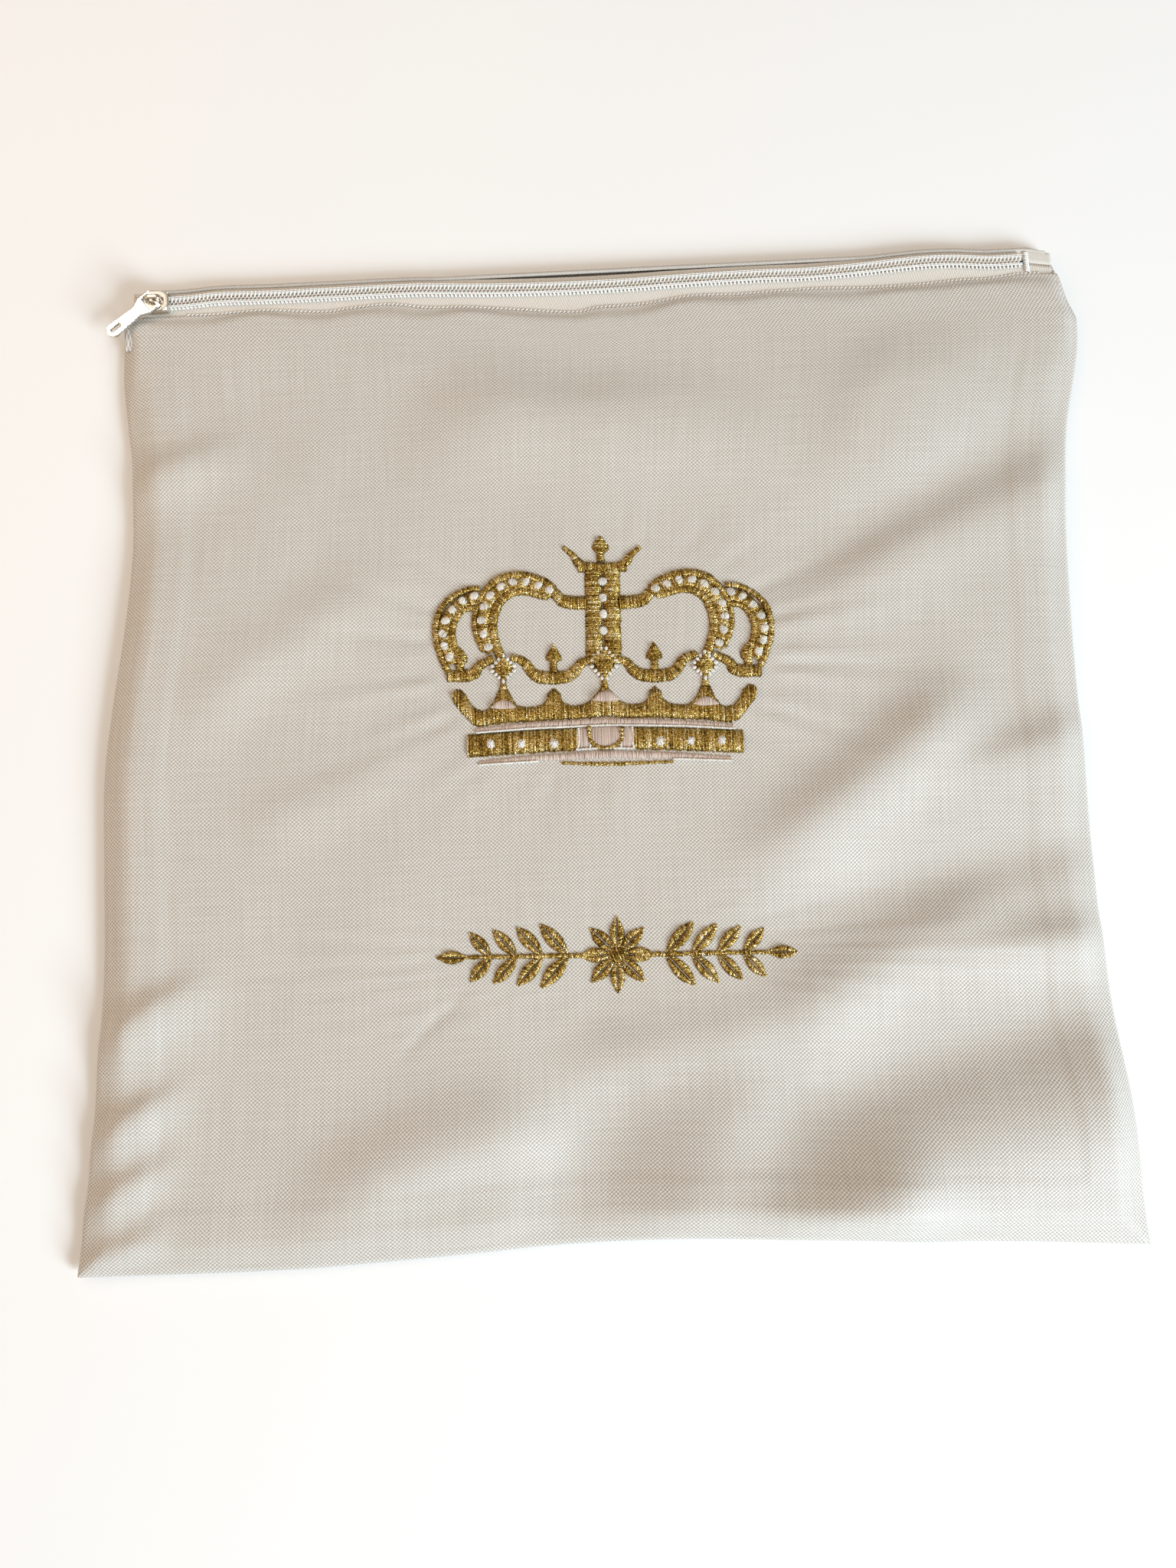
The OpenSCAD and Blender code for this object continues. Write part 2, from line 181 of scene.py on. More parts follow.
# Each fold: its two ends in plan, how far its line bows upwards, how far it spreads on its upper
# and lower side, and its height. A valley's height is negative.
FOLDS = [
    (112, 162, 70, 74, 0, 15, 30, 2.9),
    (164, 109, 44, 46, 3, 11, 9, -1.7),
    (164, 88, 44, 32, 3, 9, 13, 1.8),
    (108, 14, 38, -38, -2, 11, 14, 4.8),
    (168, 10, 96, -14, 1, 7, 12, 2.4),
    (168, -26, 36, -58, 4, 9, 8, -1.6),
    (168, -57, 94, -64, 2, 6, 9, 2.6),
    (114, -48, 36, -86, 0, 10, 12, 3.2),
    (44, -82, -16, -94, 0, 9, 10, 1.9),
    (172, -72, 20, -120, 4, 12, 12, -2.0),
    (176, -96, 22, -150, 2, 24, 24, 6.8),
    (90, -124, 26, -150, 0, 12, 16, 4.4),
    (6, -96, -28, -156, 0, 12, 12, -2.4),
    (40, -96, 8, -158, 0, 15, 16, 3.4),
    (-146, 66, -138, -84, 0, 34, 8, 2.4),
    (-18, -107, -92, -133, 3, 13, 11, 3.6),
    (-160, -96, -114, -66, 2, 5, 9, 3.2),
    (-160, -120, -120, -96, 1, 4, 7, 2.8),
    (-162, -138, -122, -116, 1, 4, 6, 2.4),
    (-162, -152, -124, -134, 0, 4, 5, 2.0),
    (-160, 76, -108, 94, 0, 7, 9, 2.4),
    (-54, 100, 70, 92, 5, 17, 17, 2.6),
    (-122, 10, -58, 54, 3, 11, 10, 1.8),
    (-74, 128, -20, 118, 2, 8, 9, 1.0),
    (-104, -22, -54, 2, -3, 9, 9, 1.1),
]


def folds(x, y):
    """Sum of the folds: each one's height, times a bell curve exp(-d^2) of the distance d from its
    bowed line, in spreads, times a smooth start and end along that line."""
    total = np.zeros_like(x)
    for x0, y0, x1, y1, bow, above, below, tall in FOLDS:
        run = np.hypot(x1 - x0, y1 - y0)
        ux, uy = (x1 - x0) / run, (y1 - y0) / run
        t = ((x - x0) * ux + (y - y0) * uy) / run
        side = ((y - y0) * ux - (x - x0) * uy) * np.sign(ux)
        side = side - bow * 4 * np.clip(t, 0, 1) * (1 - np.clip(t, 0, 1))
        spread = np.where(side > 0, above, below)
        ends = ramp(t, -0.12, 0.22) * (1 - ramp(t, 0.62, 1.12))
        total += tall * np.exp(-((side / spread) ** 2)) * ends
    return total


def puckers(x, y, middle, half, count, tall, reach):
    """Small rays that stitching draws up: waves round an oval of the given half sizes, which die
    away as exp(-distance / reach) outside it and are strongest at the oval's two ends."""
    dx, dy = (x - middle[0]) / half[0], (y - middle[1]) / half[1]
    out = (np.hypot(dx, dy) - 1) * min(half)
    turn = np.arctan2(dy, dx)
    wave = np.sin(count * turn + 1.7 * np.sin(3 * turn + 0.6)) + 0.5 * np.sin(1.7 * count * turn + 2.0)
    at_ends = 0.25 + 0.75 * np.cos(turn) ** 4
    return tall * wave * at_ends * ramp(out, -3, 3) * np.exp(-np.clip(out, 0, None) / reach)


def unevenness(x, y):
    """The cloth's slight unevenness: four long waves that cross at unlike angles."""
    return (0.30 * np.sin(x / 17 + y / 41 + 0.5) + 0.26 * np.sin(y / 19 - x / 37 + 1.9)
            + 0.12 * np.sin(x / 7.5 - y / 15 + 0.8) + 0.10 * np.sin(y / 8.5 + x / 21 + 2.7))


def crease(x, y):
    """One pressed crease, 26 long, that runs down to the left from below the spray."""
    run, side = -0.80 * (x + 42) - 0.60 * (y + 72), 0.60 * (x + 42) - 0.80 * (y + 72)
    return -0.6 * np.exp(-np.abs(side - 0.004 * run ** 2) / 1.4) * ramp(run, -2, 6) * (1 - ramp(run, 16, 30))


CROWN = np.array([-0.4, high("crown_gold_thread")[1] - 69.0])
SPRAY = (low("spray_gold_thread")[:2] + high("spray_gold_thread")[:2]) / 2


def lie(x, y):
    """Height of the front panel's middle away from its edges: a low dome, the folds, the puckers
    and the unevenness, kept smoothly above the layers inside by a soft maximum."""
    rise = 5.2 + folds(x, y) + unevenness(x, y) + crease(x, y)
    rise += puckers(x, y, CROWN + [0, 33], (53, 37), 29, 0.38, 14)
    rise += puckers(x, y, SPRAY, (54, 13), 21, 0.24, 9)
    least = 3.0
    return least + 0.8 * np.log1p(np.exp((rise - least) / 0.8))


# How far the chain wanders off its straight line, and how far the front fold lies from the chain's
# middle, both against the distance along the zipper.
CHAIN_WANDER = [(-150, 0), (-130, 0), (-118, 0.7), (-100, 0.4), (-62, 0.4), (-50, 0), (-34, -0.9), (-14, -1.5),
                (8, -1.5), (26, -1.0), (50, -0.7), (66, -0.9), (84, -0.1), (100, 1.0), (112, 1.0), (123, 0),
                (133, 0), (139, -0.9), (150, -2.6)]
FOLD_LINE = [(-150, -4.9), (-130, -4.8), (-119, -5.6), (-104, -4.9), (-86, -6.3), (-76, -5.4), (-65, -4.9),
             (-54, -6.4), (-41, -6.2), (-25, -7.2), (-8, -8.6), (0, -7.4), (14, -7.2), (29, -5.8), (45, -6.2),
             (67, -5.5), (85, -6.9), (102, -7.7), (118, -6.4), (132, -4.9), (141, -3.8), (150, -3.0)]
BACK_EDGE = 3.8  # how far the back panel's fold lies behind the zipper's straight line
CUFF = 9.0  # how far before the zipper the side seams start to climb to it


def seam_height(x, y):
    """Height of the side and foot seams: low on the table, lifted by any fold that reaches them,
    and climbing to the tapes where the zipper's ends are sewn in."""
    _, c = to_zip(x, y)
    return 1.25 + 0.42 * np.log1p(np.exp(folds(x, y))) + 2.1 * ramp(c, -CUFF - 5, -CUFF + 4)


def side_line(insets, x_edge, top):
    """A side of the pouch from the foot up: (share of height, distance in from the widest point)."""
    way = 1 if x_edge < 0 else -1
    height = top[1] - FOOT
    shares = smooth(insets)
    return np.stack([x_edge + way * shares[:, 1], FOOT + shares[:, 0] * height], 1)


def evenly(line, shares):
    """Points at the given shares of a line's length."""
    far = np.concatenate([[0], np.cumsum(np.linalg.norm(np.diff(line, axis=0), axis=1))])
    return np.stack([np.interp(shares * far[-1], far, line[:, i]) for i in range(line.shape[1])], 1)


LEFT_IN = [(0, -0.6), (0.06, 0.6), (0.12, 1.8), (0.2, 2.7), (0.3, 3.4), (0.4, 2.4), (0.5, 1.4), (0.58, 3.2),
           (0.66, 5.8), (0.75, 7.2), (0.84, 6.2), (0.9, 4.0), (0.95, 2.5), (1, 2.6)]
RIGHT_IN = [(0.012, -0.2), (0.05, 0.8), (0.12, 2.0), (0.2, 4.1), (0.28, 6.0), (0.35, 7.3), (0.5, 8.0),
            (0.62, 8.6), (0.74, 8.3), (0.8, 7.6), (0.87, 5.5), (0.92, 2.7), (0.96, 0.5), (1, -0.2)]
FOOT_UP = [(0, 0.2), (0.12, 0.5), (0.21, 1.1), (0.28, 2.4), (0.36, 4.0), (0.43, 5.7), (0.5, 6.7), (0.57, 7.1),
           (0.65, 6.7), (0.72, 6.1), (0.79, 5.0), (0.87, 4.4), (1, 2.6)]


def patch(top_c, s, t):
    """The pouch in plan as a grid: a Coons patch, the sum of the two blends between facing sides
    less the blend of the four corners. The top side lies top_c across the zipper."""
    cuff_left = np.array(from_zip(-148.5, -CUFF))
    cuff_right = np.array(from_zip(148.6, -19))
    top_left = np.array(from_zip(-148.5 + 6 * (CUFF + top_c) / 17, top_c))
    top_right = np.array(from_zip(148.6 - 9 * (19 + top_c) / 27, top_c))
    left = evenly(np.vstack([side_line(LEFT_IN, LEFT, cuff_left), top_left]), t)
    right = evenly(np.vstack([side_line(RIGHT_IN, RIGHT, cuff_right), top_right]), t)
    foot = np.stack([left[0, 0] + s * (right[0, 0] - left[0, 0]), FOOT + follow(FOOT_UP, s)], 1)
    top = top_left + s[:, None] * (top_right - top_left)
    s, t = s[None, :, None], t[:, None, None]
    sides = (1 - s) * left[:, None] + s * right[:, None]
    ends = (1 - t) * foot[None] + t * top[None]
    corners = (1 - t) * ((1 - s) * foot[0] + s * foot[-1]) + t * ((1 - s) * top[0] + s * top[-1])
    return sides + ends - corners


def closer(count):
    """Grid shares from 0 to 1: five lines close together at both ends, where the cloth turns over
    its edge, and even ones between."""
    near = np.array([0, 0.35, 0.8, 1.4, 2.2]) / (RIGHT - LEFT)
    start = 3.4 / (RIGHT - LEFT)
    return np.concatenate([near, np.linspace(start, 1 - start, count - 10), 1 - near[::-1]])


# ------------------------------------------------------------
# Front panel. One piece of ivory satin in plain weave with a slubbed warp, cut 18 mm larger at
# the sides and foot. Its edges are turned in and seamed, and its top is folded over the tape.
# ------------------------------------------------------------
def add(tree, kind, sockets=None, **settings):
    """Adds one node with its settings. Sockets maps an input to a value, or to what links into it."""
    made = tree.nodes.new("ShaderNode" + kind)
    for name, value in settings.items():
        setattr(made, name, value)
    for name, value in (sockets or {}).items():
        if isinstance(value, bpy.types.NodeSocket):
            tree.links.new(value, made.inputs[name])
        else:
            made.inputs[name].default_value = value
    return made


def on_cloth(tree):
    """The piece's own UV, which runs in millimetres of cloth or thread."""
    return add(tree, "UVMap", uv_map="cloth").outputs["UV"]


def on_object(tree):
    """The place on the object, in metres."""
    return add(tree, "TexCoord").outputs["Object"]


def noise(tree, place, scale, detail=2.0, roughness=0.5):
    """Random cloudiness from 0 to 1 at a place, seen scale times smaller."""
    sockets = {"Vector": place, "Scale": scale, "Detail": detail, "Roughness": roughness}
    return add(tree, "TexNoise", sockets).outputs[0]


def sums(tree, operation, *values):
    """One sum on numbers or sockets."""
    return add(tree, "Math", dict(enumerate(values)), operation=operation).outputs[0]


def spread(tree, value, **ends):
    """A value mapped from one range to another. Ranges are 0 to 1 where ends doesn't say."""
    sockets = {name.replace("_", " "): end for name, end in ends.items()}
    return add(tree, "MapRange", {"Value": value, **sockets}).outputs[0]


def paint(tree, shader, level, *stops):
    """Colours the shader by a level, through stops of (level, colour) from 0 to 1."""
    made = add(tree, "ValToRGB", {"Fac": level})
    elements = made.color_ramp.elements
    for place, _ in stops[1:-1]:
        elements.new(place)
    for element, (place, colour) in zip(elements, stops):
        element.position, element.color = place, linear(colour)
    tree.links.new(made.outputs["Color"], shader.inputs["Base Color"])


def relieve(tree, shader, height, strength, depth):
    """Fine relief: a height from 0 to 1 stands for a depth in metres."""
    bump = add(tree, "Bump", {"Height": height, "Strength": strength, "Distance": depth})
    tree.links.new(bump.outputs[0], shader.inputs["Normal"])


def cloth_material():
    """Satin-faced ivory cloth. Its threads lie 0.59 mm apart across and 0.56 mm along, and each warp thread that
    floats on top catches the light: that is painted into the colour as a grid of bright grains, a painted highlight,
    laid over the slubs' own uneven tone."""
    material, tree, shader = finish("plain weave ivory satin", Roughness=0.52, Sheen_Weight=0.25,
                                    Sheen_Roughness=0.35, Specular_IOR_Level=0.55)
    cloth = on_cloth(tree)
    wobble = add(tree, "TexNoise", {"Vector": cloth, "Scale": 0.16, "Detail": 2.0}).outputs["Color"]
    bend = add(tree, "VectorMath", {0: wobble, 1: (0.9, 0.9, 0.0)}, operation="MULTIPLY").outputs[0]
    threads = add(tree, "VectorMath", {0: cloth, 1: bend}, operation="ADD").outputs[0]
    axes = add(tree, "SeparateXYZ", {0: threads}).outputs
    # The weave grid: painted highlight on the floats in the colour, and also the cloth's fine relief.
    across, along = (sums(tree, "SINE", sums(tree, "MULTIPLY", axes[axis], np.pi / spacing))
                     for axis, spacing in (("X", 0.59), ("Y", 0.56)))
    grain = spread(tree, sums(tree, "MULTIPLY", across, along), From_Min=-0.8, From_Max=0.8)
    slub_space = add(tree, "Mapping", {"Vector": cloth, "Scale": (1.5, 0.035, 1.0)}).outputs[0]
    pick_space = add(tree, "Mapping", {"Vector": cloth, "Scale": (0.05, 1.7, 1.0)}).outputs[0]
    uneven = sums(tree, "ADD", noise(tree, slub_space, 1.0, 3.0), noise(tree, pick_space, 1.0))
    level = sums(tree, "ADD", grain, sums(tree, "MULTIPLY_ADD", uneven, 0.34, -0.34))
    paint(tree, shader, level, (0, "#ADA498"), (0.5, "#CEC8BE"), (1, "#E8E5E0"))
    relieve(tree, shader, level, 0.7, 0.00012)
    return material


def place_mesh(name, points, faces, material, body, uv=None, shade=None):
    """Makes a piece from points in millimetres, its faces, a cloth UV and a shade per point."""
    mesh = bpy.data.meshes.new(name)
    mesh.from_pydata((points * MM).tolist(), [], faces)
    if uv is not None:
        corner = np.zeros(len(mesh.loops), np.int32)
        mesh.loops.foreach_get("vertex_index", corner)
        mesh.uv_layers.new(name="cloth").data.foreach_set("uv", uv[corner].astype(np.float32).ravel())
    if shade is not None:
        mesh.attributes.new("shade", "FLOAT", "POINT").data.foreach_set("value", shade.astype(np.float32))
    mesh.polygons.foreach_set("use_smooth", np.ones(len(mesh.polygons), bool))
    mesh.materials.append(material)
    piece = bpy.data.objects.new(name, mesh)
    scene.collection.objects.link(piece)
    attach(piece, body)
    return piece


def grid_faces(rows, columns):
    """Four-sided faces over a grid of rows x columns points, wound to face up."""
    first = (np.arange(rows - 1)[:, None] * columns + np.arange(columns - 1)).ravel()
    return np.stack([first, first + 1, first + columns + 1, first + columns], 1).tolist()


def thicken(piece, thickness, offset=0.0):
    """Gives a sheet its real thickness, in millimetres."""
    solid = piece.modifiers.new("thickness", "SOLIDIFY")
    solid.thickness = thickness * MM
    solid.offset = offset


satin_cloth = cloth_material()
HEM = 10.0
ALLOWANCE = 18.0


def front_grid():
    """The front panel's middle surface. Rounded up from its seams, raised to the dome and folds,
    with a faint step at the turned-in edge, then rolled down to the tape and turned under."""
    s, t = closer(216), closer(204)
    fold_c = -6.2
    plan = patch(fold_c, s, t)
    x, y = plan[..., 0], plan[..., 1]
    a, c = to_zip(x, y)
    line = follow(FOLD_LINE, a) + follow(CHAIN_WANDER, a)
    c = c + (line - fold_c) * ramp(c, -26, fold_c)
    x, y = from_zip(a, c)
    across = (x[:, -1] - x[:, 0])[:, None]
    in_side = np.minimum(s * across, (1 - s) * across)
    in_foot = t[:, None] * (147 - FOOT) + 0 * in_side
    inside = np.minimum(in_side, in_foot)
    seam = seam_height(x, y)
    rounded = np.sqrt(1 - (1 - np.clip(inside / 1.5, 0, 1)) ** 2)
    settled = np.minimum(ramp(in_side, -2, 10), ramp(in_foot, -2, 10))
    z = seam + 1.0 * rounded + (lie(x, y) - seam - 1.0) * settled * rounded
    turned_in = sum(1 - ramp(inset, ALLOWANCE - 0.8, ALLOWANCE + 1.2) for inset in (in_side, in_foot))
    z += 0.30 * np.clip(turned_in, 0, 1) * rounded
    down = line - c
    roll = 3.0 + 0.9 * np.sin(a / 11 + 1.2) + 0.6 * np.sin(a / 5.3)
    crest = COIL_Z + 0.35 + 1.05 * ramp(down, 0, roll)
    near = 1 - ramp(down, 8, 34)
    held = ramp(in_side, 0, 5)
    z = z * (1 - near) + near * (crest * held + (seam + 0.6) * (1 - held))
    return a, c, x, y, z, s, t


def cloth_panel(name, rows, s, cloth_v):
    """A panel from rows of points. Its UV is s across the cloth, in millimetres, and cloth_v along."""
    points = np.concatenate(rows)
    uv = np.stack(np.broadcast_arrays(s[None] * (RIGHT - LEFT), cloth_v[:, None]), -1)
    panel = place_mesh(name, points.reshape(-1, 3), grid_faces(*points.shape[:2]), satin_cloth, "pouch",
                       uv.reshape(-1, 2))
    thicken(panel, CLOTH)
    return panel


def build_front():
    """The front panel: its grid, then a tight half turn at the zipper and the hem below the tape."""
    a, c, x, y, z, s, t = front_grid()
    half_turn = np.linspace(0, np.pi, 7)[1:]
    rolls = [(0.28 * np.sin(w), -0.28 * (1 - np.cos(w))) for w in half_turn]
    rolls += [(-back, -0.56) for back in (2, 5, HEM)]
    rows = [np.stack([x, y, z], -1)]
    for out, drop in rolls:
        tx, ty = from_zip(a[-1], c[-1] + out)
        rows.append(np.stack([tx, ty, np.maximum(z[-1] + drop, COIL_Z + 0.27)], -1)[None])
    cloth_v = np.concatenate([t * (ZIP[1] - FOOT), ZIP[1] - FOOT + np.linspace(0.2, HEM, len(rolls))])
    panel = cloth_panel("front_panel_cloth", rows, s, cloth_v)
    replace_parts(panel, "front_panel")


build_front()


# ------------------------------------------------------------
# Back panel. The same satin. It lies flat on the table, rises to the seams, and is wrapped up
# round the back of the zipper, where its folded edge is sewn to the tape.
# ------------------------------------------------------------
def build_back():
    """The back panel's middle surface: flat, lifted to the seam over 8 mm, then carried round the
    back of the zipper along a bowed section."""
    s, t = closer(150), closer(130)
    top_c = 2.6
    plan = patch(top_c, s, t)
    x, y = plan[..., 0], plan[..., 1]
    a, c = to_zip(x, y)
    across = (x[:, -1] - x[:, 0])[:, None]
    in_side = np.minimum(s * across, (1 - s) * across)
    in_foot = t[:, None] * (147 - FOOT) + 0 * in_side
    lift_over = 8 - 5.2 * ramp(c, -CUFF - 4, -CUFF + 6)
    lifted = np.maximum(1 - in_side / lift_over, 1 - in_foot / 8)
    z = 0.26 + (seam_height(x, y) - 0.26) * np.clip(lifted, 0, 1) ** 2
    edge_c = BACK_EDGE + np.clip(follow(CHAIN_WANDER, a[-1]), 0, None)
    held = ramp(in_side[-1], 0, 6)
    rows = [np.stack([x, y, z], -1)]
    section = [(0.45, 0.05), (0.95, 0.75), (1.28, 1.6), (1.25, 2.5), (0.9, 3.35), (0.35, 3.75),
               (0.0, 3.86), (-0.12, 3.6), (0.1, 3.35), (0.6, 3.0)]
    for out, up in section:
        sx, sy = from_zip(a[-1], top_c + (edge_c + out - top_c) * (0.25 + 0.75 * held))
        rows.append(np.stack([sx, sy, 0.26 + np.maximum(up, z[-1] - 0.26)], -1)[None])
    cloth_v = np.concatenate([t * (ZIP[1] - FOOT), ZIP[1] - FOOT + 0.9 * np.arange(1, len(section) + 1)])
    panel = cloth_panel("back_panel_cloth", rows, s, cloth_v)
    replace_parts(panel, "back_panel")


build_back()


# ------------------------------------------------------------
# Seam thread. Polyester lockstitch, 2.5 mm long, that joins the turned-in edges of both panels
# round the sides and the foot, just inside the edge and out of sight between the layers.
# ------------------------------------------------------------
def sweep_faces(sweeps, rings, sides, first=0):
    """Faces of closed tubes, each of so many rings of so many points, with a cap at both ends.
    First is the number of their first point."""
    base = first + np.arange(sweeps)[:, None, None] * rings * sides
    ring = np.arange(rings - 1)[None, :, None] * sides
    here = np.arange(sides)
    after = (here + 1) % sides
    low_ring, high_ring = base + ring, base + ring + sides
    corners = (low_ring + here, low_ring + after, high_ring + after, high_ring + here)
    walls = np.stack(np.broadcast_arrays(*corners), -1)
    starts = (base[:, 0, :] + here[::-1]).tolist()
    ends = (base[:, 0, :] + (rings - 1) * sides + here).tolist()
    return walls.reshape(-1, 4).tolist() + starts + ends


def tube_points(paths, radius, sides=6, flat=1.0):
    """Rings round paths of shape (paths, points, 3). Each ring lies across the path, on its level
    sideways direction and the direction square to both. Flat squeezes it in height."""
    ahead = np.gradient(paths, axis=1)
    ahead /= np.maximum(np.linalg.norm(ahead, axis=-1, keepdims=True), 1e-9)
    sideways = np.stack([-ahead[..., 1], ahead[..., 0], 0 * ahead[..., 0]], -1)
    sideways /= np.maximum(np.linalg.norm(sideways, axis=-1, keepdims=True), 1e-9)
    upwards = np.cross(ahead, sideways)
    turn = 2 * np.pi * np.arange(sides) / sides
    wide = (radius * np.ones(paths.shape[:2]))[..., None, None]
    return (paths[:, :, None] + wide * (np.cos(turn)[:, None] * sideways[:, :, None]
                                        + flat * np.sin(turn)[:, None] * upwards[:, :, None]))


def face_out(piece):
    """Turns every closed shell's faces outwards."""
    shell = bmesh.new()
    shell.from_mesh(piece.data)
    bmesh.ops.recalc_face_normals(shell, faces=shell.faces)
    shell.to_mesh(piece.data)
    shell.free()


def tubes(name, paths, radius, material, sides=6):
    """A piece made of round closed tubes. Its UV runs in millimetres along and once around."""
    rings = tube_points(paths, radius, sides)
    count, long, around, _ = rings.shape
    step = np.linalg.norm(np.diff(paths, axis=1), axis=-1)
    far = np.concatenate([np.zeros((count, 1)), np.cumsum(step, 1)], 1)
    uv = np.stack(np.broadcast_arrays(far[..., None], np.arange(around) / around), -1)
    piece = place_mesh(name, rings.reshape(-1, 3), sweep_faces(count, long, around), material, "pouch",
                       uv.reshape(-1, 2), np.ones(count * long * around))
    face_out(piece)
    return piece


def thread_material(name, dark, light, roughness, twist=2.2, **look):
    """Spun thread: two plies twisted together, so slanting ridges run round it, one every 0.45 mm. The grooves between
    them are painted darker in the colour: painted shade.
    """
    material, tree, shader = finish(name, Roughness=roughness, **look)
    along = add(tree, "SeparateXYZ", {0: on_cloth(tree)}).outputs
    turns = sums(tree, "MULTIPLY_ADD", along["X"], twist, along["Y"])
    ply = sums(tree, "SINE", sums(tree, "MULTIPLY", turns, 2 * np.pi))
    tone_and_shade = add(tree, "Attribute", attribute_name="shade").outputs["Fac"]
    # The ply's sine darkens the colour in the grooves between the plies (painted shade), over each stitch's own tone.
    paint(tree, shader, sums(tree, "MULTIPLY_ADD", ply, 0.16, tone_and_shade), (0, dark), (1, light))
    relieve(tree, shader, ply, 0.6, 0.00006)
    return material


seam_polyester = thread_material("spun polyester sewing thread", "#B9AE9C", "#EFE8DA", 0.6)


def lockstitch(line, length=2.5, dip=0.18):
    """A row of stitches along (x, y, z) points: the path dips by half a sine at each needle hole."""
    far = np.linalg.norm(np.diff(line, axis=0), axis=1).sum()
    count = int(far / length) * 4
    path = evenly(line, np.linspace(0, 1, count + 1))
    path[:, 2] += dip * np.abs(np.sin(np.pi * np.arange(count + 1) / 4))
    return path[None]


SEAM_IN = 1.6  # how far the stitches lie in from the pouch's edge
border = patch(-12.0, closer(120), closer(120))
middle_of_pouch = border[60, 60]
round_edge = np.vstack([border[111::-1, 0], border[0, 1:], border[1:111, -1]])
inwards = middle_of_pouch - round_edge
round_edge = round_edge + SEAM_IN * inwards / np.linalg.norm(inwards, axis=1, keepdims=True)
round_edge = np.column_stack([round_edge, seam_height(*round_edge.T) - 0.3])
seam = tubes("side_seam_stitching", lockstitch(round_edge), 0.17, seam_polyester)
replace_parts(seam, "panel_seam_thread")

# ------------------------------------------------------------
# Gold embroidery. Metallic thread, a gilt foil wound on a core, laid in close satin stitches
# over an underlay, 0.42 mm apart. The crown's bands are stitched across their own line.
# ------------------------------------------------------------
STITCH_GAP = 0.42


def satin(points, gap=STITCH_GAP, ragged=0.10):
    """Both ends of each stitch across a band along a smooth line of (x, y, half width) points.
    The ends lie square to the line, each a little off its edge as real stitches are."""
    line = smooth(points)
    far = np.concatenate([[0], np.cumsum(np.hypot(*np.diff(line[:, :2], axis=0).T))])
    at = np.arange(0, far[-1], gap)
    x, y, half = (np.interp(at, far, line[:, i]) for i in range(3))
    dx, dy = np.gradient(x), np.gradient(y)
    side = np.stack([-dy, dx], 1) / np.hypot(dx, dy)[:, None]
    off = rng.normal(0, ragged, (2, len(at), 1))
    middle = np.stack([x, y], 1)
    return middle + side * (half[:, None] + off[0]), middle - side * (half[:, None] + off[1])


def upright(start, end, lower, upper, gap=STITCH_GAP, ragged=0.10):
    """Both ends of upright stitches between two lines of (x, y) points. The lines are given from
    the axis out to the right, and mirrored on its left."""
    x = np.arange(start, end, gap)
    off = rng.normal(0, ragged, (2, len(x)))
    under, over = (np.interp(np.abs(x), *np.array(line).T) for line in (lower, upper))
    return np.stack([x, over + off[0]], 1), np.stack([x, under + off[1]], 1)


def mirrored(runs):
    """The runs and their mirror images about the axis."""
    flip = np.array([-1, 1])
    return runs + [(a * flip, b * flip, *over) for a, b, *over in runs]


def on_top(runs, over):
    """The same runs, stitched over earlier ones, so that they start that much higher."""
    return [(a, b, over) for a, b, *_ in runs]


def between(begin, end, way):
    """Points on each stitch, where way runs from -1 at its beginning to 1 at its end."""
    way = way[:, None]
    return begin[:, None] * (1 - way) / 2 + end[:, None] * (1 + way) / 2


def fullness(begin, end):
    """How far each stitch rises: all the way from 2.2 mm long up, and less when it is shorter."""
    return np.clip(np.linalg.norm(end - begin, axis=1) / 2.2, 0.45, 1)[:, None]


